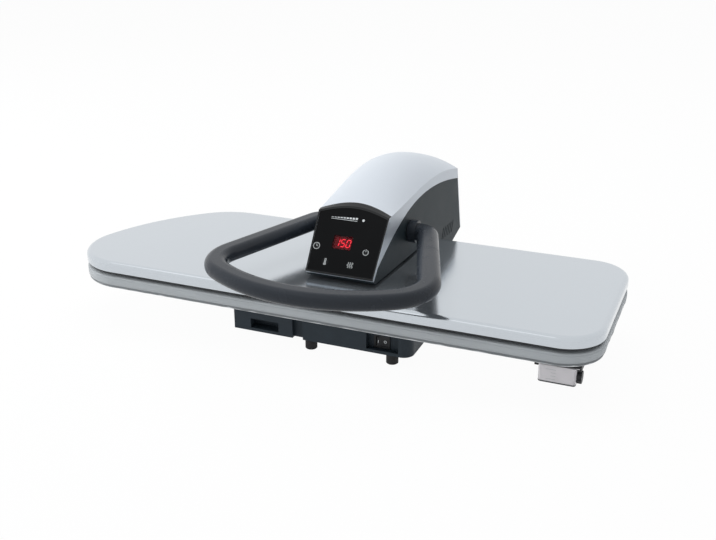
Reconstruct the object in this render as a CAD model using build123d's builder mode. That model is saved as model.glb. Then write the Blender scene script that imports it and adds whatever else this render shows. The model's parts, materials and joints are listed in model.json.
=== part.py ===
"""Steam ironing press for a table top.

A padded pressing board stands on a moulded base. A hot plate with the same outline is carried
above it by an arm that swings up about a shaft behind the board. A hoop handle pivots on the
arm, a display panel closes the arm's front, and a clear water tank slides on rails under the
board's right end.

X runs to the user's right, Y to the rear, Z up. Millimetres. The floor is at Z = 0.
"""
import math
import os

from build123d import *

os.makedirs("parts", exist_ok=True)

# Pressing board and hot plate, seen from above
board_length = 1010.0
board_depth = 364.0
board_corner_radius = 70.0
nose_corner_radius = 104.0
nose_corner_turn = 105.0
nose_sweep_radius = 416.0
nose_rear_radius = 135.0
plate_y = -10.5
board_front_y = plate_y - board_depth / 2
board_rear_y = plate_y + board_depth / 2

# Heights above the floor
foot_height = 20.0
board_bottom_z = 79.0
board_thickness = 26.0
press_gap = 6.0
head_height = 21.0
arm_clearance = 4.0

# Running and seating clearances
seat_gap = 0.3
running_gap = 0.05
key_gap = 0.15
slide_gap = 0.4

# Base housing
base_left = -168.0
base_right = 179.0
base_front_y = board_front_y + 47.0
base_rear_y = board_rear_y - 6.0
base_wall = 2.5
base_corner_radius = 20.0
base_left_radius = 6.0
tower_rear_y = board_rear_y + 114.0
tower_half_width = 62.0
tower_deck_z = 70.0
tray_thickness = 3.0
housing_edge = 2.0

# Recesses in the front of the base
grip_left = -134.0
grip_right = -77.0
grip_height = 18.5
grip_depth = 22.0
channel_left = -48.6
channel_right = -28.0
channel_depth = 9.0
switch_left = 96.0
switch_right = 156.0
switch_height = 30.0
switch_depth = 12.0
recess_sill = 6.0

# Feet
foot_diameter = 22.0
foot_front_y = base_front_y + 15.0
foot_rear_y = tower_rear_y - 14.0
foot_front_x = (-18.0, 140.0)
foot_rear_spread = 96.0
foot_taper = 1.0
foot_counterbore = 5.0
foot_counterbore_depth = 8.0
foot_screw_radius = 2.4
foot_screw_head = 4.2

# Mains switch and power inlet
rocker_width = 22.0
rocker_height = 17.0
rocker_reach = 5.0
rocker_throw = 8.0
rocker_hub_radius = 3.0
rocker_side_gap = 1.2
rocker_x = 122.0
rocker_z = 39.5
switch_frame_rim = 4.0
switch_frame_thickness = 2.5
switch_body_depth = 16.0
inlet_x = 72.0
inlet_z = 46.0
inlet_width = 27.0
inlet_height = 20.0
inlet_flange = 6.0
inlet_flange_thickness = 2.0
inlet_depth = 17.0
inlet_wall = 2.0
inlet_pin_spacing = 7.0
inlet_pin_rise = 1.5
inlet_pin_width = 2.0
inlet_corner_width = 4.5
inlet_corner_height = 6.0

# Parts inside the base
pump_radius = 17.0
pump_length = 62.0
pump_head_radius = 10.2
pump_head_length = 10.0
pump_x = 130.0
pump_y = plate_y + 45.0
power_board_width = 120.0
power_board_depth = 80.0
power_board_x = -70.0
power_board_y = plate_y + 40.0
# Transformer, two relays and connector: place on the board, width, depth, height
power_board_parts = (
    (-33.6, 8.0, 34.0, 30.0, 24.0),
    (14.4, 17.6, 28.0, 13.0, 16.0),
    (14.4, -12.8, 28.0, 13.0, 16.0),
    (45.6, 0.0, 8.0, 44.0, 10.0),
)
circuit_thickness = 1.6
standoff_height = 6.0
standoff_radius = 4.0
standoff_inset = 7.0

# Padded board
pan_inset = 2.3
pan_gauge = 1.2
pan_height = 15.5
pad_gap = 0.3
cover_cloth = 2.0
cover_hem = 32.0
cover_edge = 3.0
cover_fold = 1.2
strap_width = 30.0
strap_margin = 15.0
board_screw_radius = 2.4
board_screw_head = 4.5

# Head
head_wall = 1.5
head_edge = 9.0
plate_inset = 6.0
plate_thickness = 6.0
gasket_inset = 1.8
gasket_height = 6.0
element_radius = 4.0
element_inset = 62.0
element_end_x = board_length / 2 - 105.0
element_turn_x = 255.0 - board_length / 2
plate_chamfer = 1.0
gasket_lip = 0.5
plate_drop = 1.5
cheek_width = 18.0
blanket_inset = 8.0
blanket_thickness = 4.9
steam_hole_radius = 2.0
steam_hole_pitch_x = 72.0
steam_hole_pitch_y = 64.0
steam_hole_count_x = 9
steam_hole_count_y = 3
mount_length = 64.0
mount_depth = 44.0
mount_pad_height = 8.0
mount_opening_margin = 3.0
chamber_x = 235.0
chamber_length = 120.0
chamber_depth = 84.0
chamber_height = 8.0
thermostat_x = -170.0
thermostat_radius = 13.0
thermostat_cap_radius = 9.0

# Arm and hinge
arm_x = 34.0
arm_front_half = 68.5
arm_rear_half = 88.0
arm_wall = 2.4
cover_boss_wall = 3.5
cover_boss_y = board_rear_y + 51.0
cover_boss_z = 190.0
cover_boss_radius = 8.0
arm_bottom_rear_z = 86.0
hinge_y = board_rear_y + 73.0
hinge_z = 95.0
hinge_shaft_radius = 7.0
hinge_eye_radius = 17.0
ear_inner_half = 40.0
ear_thickness = 4.0
rail_thickness = 3.0
ear_gap = 1.0
rail_inner_half = ear_inner_half + ear_thickness + ear_gap
clip_thickness = 2.0
flange_thickness = 3.0
flange_half = 58.0
flange_margin = 8.0
flange_bolt_radius = 3.0
flange_bolt_inset = 6.2
flange_bolt_head = 5.5
spring_wire = 3.6
spring_radius = 12.0
spring_turns = 5
spring_end_turn = 0.25
spring_pitch = 5.2
spring_offset = 9.0
spring_lever = 40.0
spring_bar_radius = 4.0
rail_front_y = plate_y - 22.0
rail_low_z = 152.0
rail_high_z = 219.0
rail_web = 3.0
rail_hole_radius = 18.0
rail_hole_pitch = 45.0
side_flange_x = 66.0
vent_count = 6
vent_rear_y = board_rear_y + 104.0
vent_pitch = 11.0
vent_z = 122.0
vent_length = 26.0
vent_width = 3.5
vent_lean = 70.0

# Control panel, from its top edge to its bottom edge
panel_top_y = plate_y - 41.0
panel_top_z = 242.0
panel_bottom_y = plate_y - 112.5
panel_bottom_z = 147.5
panel_foot_y = plate_y - 101.0
panel_thickness = 3.0
panel_rim_width = 2.4
panel_rim_depth = 7.0
panel_recess = 0.6
key_diameter = 14.0
key_travel = 0.8
key_stem_radius = 3.0
layout_x = -8.0
outer_key_spacing = 95.0
outer_key_height = -11.0
inner_key_spacing = 48.0
inner_key_height = -38.0
window_width = 36.0
window_height = 25.0
window_up = 1.0
board_standoff = 5.0
carrier_thickness = 3.0
carrier_standoff_radius = 3.0
key_head = 2.2
key_edge = 0.5
window_corner = 2.0
layout_drop = 12.0
key_collar = 1.0
key_collar_step = 1.5
tact_size = 6.0
module_border = 2.0
control_board_width = 122.0
control_board_height = 84.0

# Head pivot
pivot_y = plate_y + 20.0
pivot_z = 165.0
pivot_pin_radius = 5.0
pivot_boss_radius = 14.0
pivot_half_length = 30.0
bush_wall = 4.0

# Hoop handle
handle_pivot_y = plate_y + 52.0
handle_pivot_z = 187.0
handle_front_y = board_front_y - 115.0
handle_front_z = 182.0
handle_end_x = 84.0
handle_lead = 6.0
handle_end_radius = 26.0
handle_flare = 19.5
handle_corner_radius = 72.0
handle_bow = 33.0
handle_width = 40.0
handle_thickness = 28.0
handle_wall = 3.0
handle_pin_radius = 6.0
handle_boss_radius = 21.0
handle_edge = 13.0
hub_gap = 0.5
pin_head_height = 3.0

# Water tank under the right end
tank_width = 62.0
tank_right = board_length / 2 - 34.0
tank_left = tank_right - tank_width
tank_front_y = board_front_y + 11.0
tank_length = 190.0
tank_bottom_z = 43.0
tank_height = 32.0
tank_wall = 2.0
tank_corner = 5.0
tank_flange = 4.0
tank_neck_radius = 11.0
tank_neck_bore = 8.0
tank_neck_length = 5.0
cap_radius = 11.0
cap_height = 8.0
cap_wall = 2.0
cap_edge = 0.8
cap_notches = 8
cap_notch_radius = 1.6
dock_wall = 2.5
dock_plate = 3.0
dock_lip = 4.0
valve_radius = 7.0
valve_length = 12.0
socket_wall = 3.0
water_tube_radius = 4.0
water_tube_bore = 2.5

# Values worked out from the sizes above
board_top_z = board_bottom_z + board_thickness
plate_bottom_z = board_top_z + press_gap
head_bottom_z = plate_bottom_z + plate_drop
head_top_z = plate_bottom_z + head_height
arm_bottom_z = head_top_z + arm_clearance
base_bottom_z = foot_height
tray_top_z = base_bottom_z + tray_thickness
housing_top_z = board_bottom_z - seat_gap
pan_bottom_z = board_bottom_z + cover_fold + seat_gap
recess_low_z = base_bottom_z + recess_sill
rail_outer_half = rail_inner_half + rail_thickness
ear_outer_half = ear_inner_half + ear_thickness
covers_front = panel_rim_depth + seat_gap
fascia_back = panel_recess + panel_thickness
carrier_back = fascia_back + carrier_thickness
board_front = carrier_back + board_standoff

# Recesses in the base's front wall: left, right, low, high, depth
front_recesses = (
    (grip_left, grip_right, recess_low_z, recess_low_z + grip_height, grip_depth),
    (channel_left, channel_right, base_bottom_z - base_wall, housing_top_z, channel_depth),
    (switch_left, switch_right, recess_low_z, recess_low_z + switch_height, switch_depth),
)
foot_places = (
    (foot_front_x[0], foot_front_y),
    (foot_front_x[1], foot_front_y),
    (arm_x - foot_rear_spread / 2, foot_rear_y),
    (arm_x + foot_rear_spread / 2, foot_rear_y),
)
strap_places = (base_left + strap_width, base_right - strap_width)
strap_front_y = base_front_y + strap_margin
strap_rear_y = plate_y + board_depth / 2 - cover_hem - strap_margin
board_screw_places = [
    (x, y) for x in strap_places for y in (strap_front_y + strap_margin, strap_rear_y - strap_margin)
]

# Hinge bracket's flange and its bolts
flange_top_z = tower_deck_z + flange_thickness
flange_front_y = hinge_y - hinge_eye_radius - 2 * flange_margin
flange_rear_y = tower_rear_y - flange_margin
flange_bolt_places = [
    (arm_x + side * (flange_half - flange_bolt_inset), row_y)
    for side in (-1, 1)
    for row_y in (flange_front_y + flange_margin, flange_rear_y - flange_margin)
]

# Line of the tank's outlet and of the water tube
valve_z = tank_bottom_z + tank_height - tank_wall - valve_radius - slide_gap
tube_y = tank_front_y + tank_length + valve_length / 2

# Arm sections along Y: place, height of the side crease, rise of the crown above it and depth
# of the top cover's strip below it
arm_sections = (
    (plate_y - 160.0, 216.0, 5.0, 98.0),
    (panel_top_y, 240.0, 9.0, 48.0),
    (handle_pivot_y, 250.0, 27.0, 20.0),
    (board_rear_y - 26.0, 259.0, 33.0, 18.0),
    (board_rear_y + 78.0, 251.0, 27.0, 21.0),
    (board_rear_y + 170.0, 231.0, 18.0, 21.0),
)
rear_strip = 2.4
# Heights below and above the arm between which its sections are drawn and trimmed
arm_skirt_z = 40.0
arm_sky_z = 340.0

# Side view of the arm's lower and rear edges
arm_step_y = board_rear_y + 6.0
arm_heel_y = board_rear_y + 104.0
arm_tail_y = board_rear_y + 156.0
arm_tail_z = 104.0
arm_shoulder_y = board_rear_y + 124.0
arm_shoulder_z = 242.0
arm_tail_slope = (arm_tail_y - arm_shoulder_y) / (arm_shoulder_z - arm_tail_z)

# The control panel's plane, facing the user, its Y up along the panel
panel_plane = Plane(
    origin=(arm_x, (panel_top_y + panel_bottom_y) / 2, (panel_top_z + panel_bottom_z) / 2),
    x_dir=(1, 0, 0),
    z_dir=(0, panel_bottom_z - panel_top_z, panel_top_y - panel_bottom_y),
)
key_places = (
    (layout_x - outer_key_spacing / 2, outer_key_height),
    (layout_x - inner_key_spacing / 2, inner_key_height),
    (layout_x + inner_key_spacing / 2, inner_key_height),
    (layout_x + outer_key_spacing / 2, outer_key_height),
)

# The hoop's plane: its Y runs from the front bar to the pivot line
handle_plane = Plane(
    origin=(arm_x, handle_pivot_y, handle_pivot_z),
    x_dir=(1, 0, 0),
    z_dir=(0, handle_front_z - handle_pivot_z, handle_pivot_y - handle_front_y),
)
side_plane = Plane.YZ.offset(arm_x)


def save(piece, name):
    """Label a finished piece and write it as its own STEP file."""
    piece.part.label = name
    export_step(piece.part, f"parts/{name}.step")


class BoardOutline(BaseSketchObject):
    """Plan of the board: square right end, nose with a tight front corner and a long rear sweep."""

    def __init__(self, inset=0.0, mode=Mode.ADD):
        half_length = board_length / 2
        half_depth = board_depth / 2
        sweep_heading = math.radians(180.0 - nose_corner_turn)
        rear_cosine = (
            board_depth
            - nose_corner_radius * (1 + math.cos(sweep_heading))
            - nose_rear_radius
            + nose_sweep_radius * math.cos(sweep_heading)
        ) / (nose_sweep_radius - nose_rear_radius)
        rear_heading = math.degrees(math.acos(rear_cosine))
        sweep_turn = math.degrees(sweep_heading) - rear_heading
        with BuildSketch() as outline:
            with BuildLine():
                front = Line(
                    (half_length - board_corner_radius, plate_y - half_depth),
                    (nose_corner_radius - half_length, plate_y - half_depth),
                )
                nose = JernArc(front @ 1, front % 1, nose_corner_radius, -nose_corner_turn)
                sweep_arc = JernArc(nose @ 1, nose % 1, nose_sweep_radius, -sweep_turn)
                shoulder = JernArc(sweep_arc @ 1, sweep_arc % 1, nose_rear_radius, -rear_heading)
                rear = Line(
                    shoulder @ 1,
                    (half_length - board_corner_radius, plate_y + half_depth),
                )
                rear_corner = JernArc(rear @ 1, rear % 1, board_corner_radius, -90)
                end = Line(
                    rear_corner @ 1,
                    (half_length, plate_y - half_depth + board_corner_radius),
                )
                JernArc(end @ 1, end % 1, board_corner_radius, -90)
            make_face()
            if inset:
                offset(amount=-inset)
        super().__init__(obj=outline.sketch, mode=mode)


class BodyOutline(BaseSketchObject):
    """Plan of the base's front body, its right corners rounder than its left ones."""

    def __init__(self, inset=0.0, mode=Mode.ADD):
        with BuildSketch() as outline:
            with Locations(((base_left + base_right) / 2, (base_front_y + base_rear_y) / 2)):
                Rectangle(base_right - base_left, base_rear_y - base_front_y)
            corners = outline.vertices().group_by(Axis.X)
            fillet(corners[-1], radius=base_corner_radius)
            fillet(corners[0], radius=base_left_radius)
            if inset:
                offset(amount=-inset)
        super().__init__(obj=outline.sketch, mode=mode)


class TowerOutline(BaseSketchObject):
    """Plan of the narrow tower behind the front body, under the arm's hinge."""

    def __init__(self, inset=0.0, mode=Mode.ADD):
        front_y = base_rear_y - base_corner_radius
        with BuildSketch() as outline:
            with Locations((arm_x, (front_y + tower_rear_y - inset) / 2)):
                Rectangle(2 * (tower_half_width - inset), tower_rear_y - inset - front_y)
            fillet(outline.vertices().group_by(Axis.Y)[-1], radius=base_left_radius - inset)
        super().__init__(obj=outline.sketch, mode=mode)


class Block(BasePartObject):
    """A block between two corners, its upright edges rounded by `radius`."""

    def __init__(self, low, high, radius=0.0, mode=Mode.ADD):
        width = high[0] - low[0]
        depth = high[1] - low[1]
        with BuildPart() as block:
            with BuildSketch(Plane.XY.offset(low[2])):
                with Locations((low[0] + width / 2, low[1] + depth / 2)):
                    if radius:
                        RectangleRounded(width, depth, radius)
                    else:
                        Rectangle(width, depth)
            extrude(amount=high[2] - low[2])
        super().__init__(part=block.part, mode=mode)


class CrossRod(BasePartObject):
    """A round bar or tube along X, from x = start to x = end."""

    def __init__(self, start, end, y, z, radius, bore=0.0, mode=Mode.ADD):
        with BuildPart() as rod:
            with BuildSketch(Plane(origin=(start, y, z), x_dir=(0, 1, 0), z_dir=(1, 0, 0))):
                Circle(radius)
                if bore:
                    Circle(bore, mode=Mode.SUBTRACT)
            extrude(amount=end - start)
        super().__init__(part=rod.part, mode=mode)


def arm_half_width(y):
    """Half the arm's width: it widens steadily from the panel to the tail."""
    share = (y - panel_top_y) / (arm_tail_y - panel_top_y)
    return arm_front_half + (arm_rear_half - arm_front_half) * share


class ArmVolume(BasePartObject):
    """The arm's outer form, or a copy that lies `inset` inside it.

    Arched sections are lofted along Y. The side view then trims them below and behind, and the
    control panel's plane, moved back by `front`, closes them at the front.
    """

    def __init__(self, inset=0.0, front=0.0, mode=Mode.ADD):
        front_y = arm_sections[0][0]
        sky_y = arm_tail_y - arm_tail_slope * (arm_sky_z - arm_tail_z)
        chin_slope = (panel_bottom_z - arm_bottom_z) / (panel_foot_y - panel_bottom_y)
        chin_z = arm_bottom_z + chin_slope * (panel_foot_y - front_y)
        with BuildPart() as volume:
            for section_y, crease_z, crown, strip_depth in arm_sections:
                half = arm_half_width(section_y) - inset
                edge_z = crease_z - inset
                with BuildSketch(
                    Plane(origin=(arm_x, section_y, 0), x_dir=(1, 0, 0), z_dir=(0, -1, 0))
                ):
                    with BuildLine():
                        sides = Polyline(
                            (half, edge_z),
                            (half, arm_skirt_z),
                            (-half, arm_skirt_z),
                            (-half, edge_z),
                        )
                        ThreePointArc(sides @ 1, (0, edge_z + crown), sides @ 0)
                    make_face()
            loft()
            with BuildSketch(side_plane):
                with BuildLine():
                    Polyline(
                        (panel_foot_y, arm_bottom_z),
                        (arm_step_y, arm_bottom_z),
                        (arm_step_y, arm_bottom_rear_z),
                        (arm_heel_y, arm_bottom_rear_z),
                        (arm_tail_y, arm_tail_z),
                        (sky_y, arm_sky_z),
                        (front_y, arm_sky_z),
                        (front_y, chin_z),
                        close=True,
                    )
                make_face()
                if inset:
                    offset(amount=-inset, kind=Kind.INTERSECTION)
            extrude(amount=2 * arm_rear_half, both=True, mode=Mode.INTERSECT)
            split(bisect_by=panel_plane.offset(-front), keep=Keep.BOTTOM)
        super().__init__(part=volume.part, mode=mode)


# Base housing: a shell open below, with the grip, the cord channel and the switch recess in front
with BuildPart() as housing_cavity:
    with BuildSketch(Plane.XY.offset(base_bottom_z)):
        BodyOutline(inset=base_wall)
    extrude(amount=housing_top_z - base_wall - base_bottom_z)
    with BuildSketch(Plane.XY.offset(base_bottom_z)):
        TowerOutline(inset=base_wall)
    extrude(amount=tower_deck_z - base_wall - base_bottom_z)
    for left, right, low, high, depth in front_recesses:
        Block(
            (left - base_wall, base_front_y, low - base_wall),
            (right + base_wall, base_front_y + depth + base_wall, high + base_wall),
            mode=Mode.SUBTRACT,
        )

with BuildPart() as base_housing:
    with BuildSketch(Plane.XY.offset(base_bottom_z)):
        TowerOutline()
    extrude(amount=tower_deck_z - base_bottom_z)
    fillet(base_housing.edges().group_by(Axis.Z)[-1], radius=housing_edge)
    with BuildSketch(Plane.XY.offset(base_bottom_z)):
        BodyOutline()
    extrude(amount=housing_top_z - base_bottom_z)
    fillet(base_housing.edges().group_by(Axis.Z)[-1], radius=housing_edge)
    add(housing_cavity.part, mode=Mode.SUBTRACT)
    for left, right, low, high, depth in front_recesses:
        Block(
            (left, base_front_y - base_wall, low),
            (right, base_front_y + depth, high),
            mode=Mode.SUBTRACT,
        )
    # Window for the switch's body in the recess's back wall
    Block(
        (
            rocker_x - rocker_width / 2 - switch_frame_rim / 2 - seat_gap,
            base_front_y + switch_depth,
            rocker_z - rocker_height / 2 - switch_frame_rim / 2 - seat_gap,
        ),
        (
            rocker_x + rocker_width / 2 + switch_frame_rim / 2 + seat_gap,
            base_front_y + switch_depth + base_wall,
            rocker_z + rocker_height / 2 + switch_frame_rim / 2 + seat_gap,
        ),
        mode=Mode.SUBTRACT,
    )
    # Window for the power inlet in the tower's rear wall
    Block(
        (
            inlet_x - inlet_width / 2 - inlet_wall - seat_gap,
            tower_rear_y - base_wall,
            inlet_z - inlet_height / 2 - inlet_wall - seat_gap,
        ),
        (
            inlet_x + inlet_width / 2 + inlet_wall + seat_gap,
            tower_rear_y,
            inlet_z + inlet_height / 2 + inlet_wall + seat_gap,
        ),
        mode=Mode.SUBTRACT,
    )
    with BuildSketch(Plane.XY.offset(housing_top_z)):
        with Locations(board_screw_places):
            Circle(board_screw_radius + seat_gap)
    extrude(amount=-base_wall, mode=Mode.SUBTRACT)
    with BuildSketch(Plane.XY.offset(tower_deck_z)):
        with Locations(flange_bolt_places):
            Circle(flange_bolt_radius + seat_gap)
    extrude(amount=-base_wall, mode=Mode.SUBTRACT)
    # Hole for the water tube in the right wall
    CrossRod(
        base_right - base_wall,
        base_right,
        tube_y,
        valve_z,
        water_tube_radius + seat_gap,
        mode=Mode.SUBTRACT,
    )
save(base_housing, "base_housing")

# Tray that closes the base from below and carries the feet and the electrical parts
power_board_standoffs = [
    (power_board_x + side * (power_board_width / 2 - standoff_inset), power_board_y + row)
    for side in (-1, 1)
    for row in (standoff_inset - power_board_depth / 2, power_board_depth / 2 - standoff_inset)
]
with BuildPart() as base_tray:
    with BuildSketch(Plane.XY.offset(base_bottom_z)):
        BodyOutline(inset=base_wall + seat_gap)
        TowerOutline(inset=base_wall + seat_gap)
        notch_margin = base_wall + seat_gap
        notch_depth = channel_depth + notch_margin
        with Locations(((channel_left + channel_right) / 2, base_front_y + notch_depth / 2)):
            Rectangle(
                channel_right - channel_left + 2 * notch_margin,
                notch_depth,
                mode=Mode.SUBTRACT,
            )
    extrude(amount=tray_thickness)
    with BuildSketch(Plane.XY.offset(tray_top_z)):
        with Locations(power_board_standoffs):
            Circle(standoff_radius)
    extrude(amount=standoff_height)
    with BuildSketch(Plane.XY.offset(base_bottom_z)):
        with Locations(foot_places):
            Circle(foot_screw_radius + running_gap)
    extrude(amount=tray_thickness, mode=Mode.SUBTRACT)
    # Cradle of two saddles under the water pump
    saddle_top_z = tray_top_z + standoff_height + pump_radius / 2
    for end in (-1, 1):
        saddle_y = pump_y + end * pump_length / 4
        Block(
            (pump_x - pump_radius, saddle_y - tray_thickness, tray_top_z),
            (pump_x + pump_radius, saddle_y + tray_thickness, saddle_top_z),
        )
    with BuildSketch(Plane.XZ.offset(-(pump_y - pump_length / 2))):
        with Locations((pump_x, tray_top_z + standoff_height + pump_radius)):
            Circle(pump_radius + seat_gap)
    extrude(amount=-pump_length, mode=Mode.SUBTRACT)
save(base_tray, "base_tray")

# Four rubber feet, each with a counterbore for its screw
with BuildPart() as feet:
    for x, y in foot_places:
        with BuildSketch(Plane(origin=(x, y, 0), x_dir=(1, 0, 0), z_dir=(0, -1, 0))):
            with BuildLine():
                Polyline(
                    (foot_screw_radius + running_gap, base_bottom_z),
                    (foot_diameter / 2, base_bottom_z),
                    (foot_diameter / 2, foot_taper),
                    (foot_diameter / 2 - foot_taper, 0),
                    (foot_counterbore, 0),
                    (foot_counterbore, foot_counterbore_depth),
                    (foot_screw_radius + running_gap, foot_counterbore_depth),
                    close=True,
                )
            make_face()
        revolve(axis=Axis((x, y, 0), (0, 0, 1)))
save(feet, "feet")

# Screws that hold the feet to the tray
with BuildPart() as foot_screws:
    with BuildSketch(Plane.XY.offset(foot_counterbore_depth)):
        with Locations(foot_places):
            Circle(foot_screw_head)
    extrude(amount=-foot_screw_head / 2)
    with BuildSketch(Plane.XY.offset(foot_counterbore_depth)):
        with Locations(foot_places):
            Circle(foot_screw_radius)
    extrude(amount=tray_top_z - foot_counterbore_depth)
save(foot_screws, "foot_screws")

# Water pump lying in its cradle: a round body, a narrower head and a spigot
pump_z = tray_top_z + standoff_height + pump_radius
with BuildPart() as water_pump:
    with BuildSketch(Plane(origin=(pump_x, pump_y, pump_z), x_dir=(0, 1, 0), z_dir=(1, 0, 0))):
        with BuildLine():
            Polyline(
                (-pump_length / 2, 0),
                (-pump_length / 2, pump_head_radius),
                (pump_head_length - pump_length / 2, pump_head_radius),
                (pump_head_length - pump_length / 2, pump_radius),
                (pump_length / 2, pump_radius),
                (pump_length / 2, 0),
                close=True,
            )
        make_face()
    revolve(axis=Axis((pump_x, pump_y, pump_z), (0, 1, 0)))
    with BuildSketch(Plane.XZ.offset(-(pump_y + pump_length / 2))):
        with Locations((pump_x, pump_z)):
            Circle(water_tube_radius)
    extrude(amount=-standoff_radius * 2)
save(water_pump, "water_pump")

# Power board on four standoffs, with its transformer, relay and connector
board_deck_z = tray_top_z + standoff_height
with BuildPart() as power_board:
    Block(
        (power_board_x - power_board_width / 2, power_board_y - power_board_depth / 2, board_deck_z),
        (
            power_board_x + power_board_width / 2,
            power_board_y + power_board_depth / 2,
            board_deck_z + circuit_thickness,
        ),
        radius=standoff_radius,
    )
    parts_z = board_deck_z + circuit_thickness
    for rel_x, rel_y, width, depth, height in power_board_parts:
        part_x = power_board_x + rel_x
        part_y = power_board_y + rel_y
        Block(
            (part_x - width / 2, part_y - depth / 2, parts_z),
            (part_x + width / 2, part_y + depth / 2, parts_z + height),
        )
save(power_board, "power_board")

# Power inlet in the tower's rear wall: a flanged socket with three flat pins
inlet_rear_y = tower_rear_y + inlet_flange_thickness
with BuildPart() as power_inlet:
    Block(
        (
            inlet_x - inlet_width / 2 - inlet_flange,
            tower_rear_y,
            inlet_z - inlet_height / 2 - inlet_flange,
        ),
        (
            inlet_x + inlet_width / 2 + inlet_flange,
            inlet_rear_y,
            inlet_z + inlet_height / 2 + inlet_flange,
        ),
    )
    Block(
        (
            inlet_x - inlet_width / 2 - inlet_wall,
            inlet_rear_y - inlet_depth - inlet_wall,
            inlet_z - inlet_height / 2 - inlet_wall,
        ),
        (
            inlet_x + inlet_width / 2 + inlet_wall,
            tower_rear_y,
            inlet_z + inlet_height / 2 + inlet_wall,
        ),
    )
    with BuildSketch(Plane(origin=(inlet_x, inlet_rear_y, inlet_z), x_dir=(1, 0, 0), z_dir=(0, -1, 0))):
        with BuildLine():
            Polyline(
                (-inlet_width / 2, -inlet_height / 2),
                (inlet_width / 2, -inlet_height / 2),
                (inlet_width / 2, inlet_height / 2 - inlet_corner_height),
                (inlet_width / 2 - inlet_corner_width, inlet_height / 2),
                (inlet_corner_width - inlet_width / 2, inlet_height / 2),
                (-inlet_width / 2, inlet_height / 2 - inlet_corner_height),
                close=True,
            )
        make_face()
    extrude(amount=inlet_depth, mode=Mode.SUBTRACT)
    for column, row in ((-1, -1), (0, 1), (1, -1)):
        pin_x = inlet_x + column * inlet_pin_spacing
        pin_z = inlet_z + row * inlet_pin_rise
        Block(
            (pin_x - inlet_pin_width / 2, inlet_rear_y - inlet_depth, pin_z - inlet_pin_width),
            (pin_x + inlet_pin_width / 2, inlet_rear_y - inlet_wall, pin_z + inlet_pin_width),
        )
save(power_inlet, "power_inlet")

# Switch frame: a rim on the recess's back wall and a box behind it, open to the front
rocker_hub_y = base_front_y + switch_depth + rocker_reach
frame_half_width = rocker_width / 2 + switch_frame_rim / 2
frame_half_height = rocker_height / 2 + switch_frame_rim / 2
with BuildPart() as switch_frame:
    Block(
        (
            rocker_x - rocker_width / 2 - switch_frame_rim,
            base_front_y + switch_depth - switch_frame_thickness,
            rocker_z - rocker_height / 2 - switch_frame_rim,
        ),
        (
            rocker_x + rocker_width / 2 + switch_frame_rim,
            base_front_y + switch_depth,
            rocker_z + rocker_height / 2 + switch_frame_rim,
        ),
    )
    Block(
        (rocker_x - frame_half_width, base_front_y + switch_depth, rocker_z - frame_half_height),
        (
            rocker_x + frame_half_width,
            base_front_y + switch_depth + switch_body_depth,
            rocker_z + frame_half_height,
        ),
    )
    Block(
        (
            rocker_x - rocker_width / 2 - seat_gap,
            base_front_y,
            rocker_z - rocker_height / 2 - seat_gap,
        ),
        (
            rocker_x + rocker_width / 2 + seat_gap,
            base_front_y + switch_depth + switch_body_depth - switch_frame_thickness,
            rocker_z + rocker_height / 2 + seat_gap,
        ),
        mode=Mode.SUBTRACT,
    )
    # Upright pin on which the rocker turns
    with BuildSketch(Plane.XY.offset(rocker_z - rocker_height / 2 - seat_gap)):
        with Locations((rocker_x, rocker_hub_y)):
            Circle(rocker_hub_radius / 2)
    extrude(amount=rocker_height + 2 * seat_gap)
save(switch_frame, "switch_frame")

# Rocker: two flats that meet at a shallow angle, with its left flat pressed in at rest
rest_plane = Plane(origin=(rocker_x, rocker_hub_y, rocker_z), z_dir=(0, 0, 1)).rotated(
    (0, 0, rocker_throw)
)
with BuildPart() as power_rocker:
    with BuildSketch(rest_plane):
        with BuildLine():
            flat_drop = rocker_width / 2 * math.tan(math.radians(rocker_throw))
            front = -rocker_reach - switch_frame_thickness
            side = rocker_width / 2 - rocker_side_gap
            Polyline(
                (-side, front - flat_drop / 2),
                (0, front + flat_drop / 2),
                (side, front - flat_drop / 2),
                (side, front + rocker_reach),
                (rocker_hub_radius, rocker_hub_radius),
                (-rocker_hub_radius, rocker_hub_radius),
                (-side, front + rocker_reach),
                close=True,
            )
        make_face()
        Circle(rocker_hub_radius / 2 + running_gap, mode=Mode.SUBTRACT)
    extrude(amount=rocker_height / 2, both=True)
save(power_rocker, "power_rocker")

# Two flat straps between the housing's top and the pan
with BuildPart() as board_straps:
    with BuildSketch(Plane.XY.offset(housing_top_z)):
        for strap_x in strap_places:
            with Locations((strap_x, (strap_front_y + strap_rear_y) / 2)):
                RectangleRounded(strap_width, strap_rear_y - strap_front_y, strap_margin / 2)
        with Locations(board_screw_places):
            Circle(board_screw_radius + seat_gap, mode=Mode.SUBTRACT)
    extrude(amount=pan_bottom_z - housing_top_z)
save(board_straps, "board_straps")

# Screws from inside the housing up into the pan
with BuildPart() as board_screws:
    with BuildSketch(Plane.XY.offset(housing_top_z - base_wall)):
        with Locations(board_screw_places):
            Circle(board_screw_head)
    extrude(amount=-board_screw_head / 2)
    with BuildSketch(Plane.XY.offset(housing_top_z - base_wall)):
        with Locations(board_screw_places):
            Circle(board_screw_radius)
    extrude(amount=pan_bottom_z + pan_gauge - housing_top_z + base_wall)
save(board_screws, "board_screws")

# Sheet-steel pan that stiffens the board
with BuildPart() as board_pan:
    with BuildSketch(Plane.XY.offset(pan_bottom_z)):
        BoardOutline(inset=pan_inset)
    extrude(amount=pan_height)
    with BuildSketch(Plane.XY.offset(pan_bottom_z + pan_gauge)):
        BoardOutline(inset=pan_inset + pan_gauge)
    extrude(amount=pan_height, mode=Mode.SUBTRACT)
    with BuildSketch(Plane.XY.offset(pan_bottom_z)):
        with Locations(board_screw_places):
            Circle(board_screw_radius + running_gap)
    extrude(amount=pan_gauge, mode=Mode.SUBTRACT)
save(board_pan, "board_pan")

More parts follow.
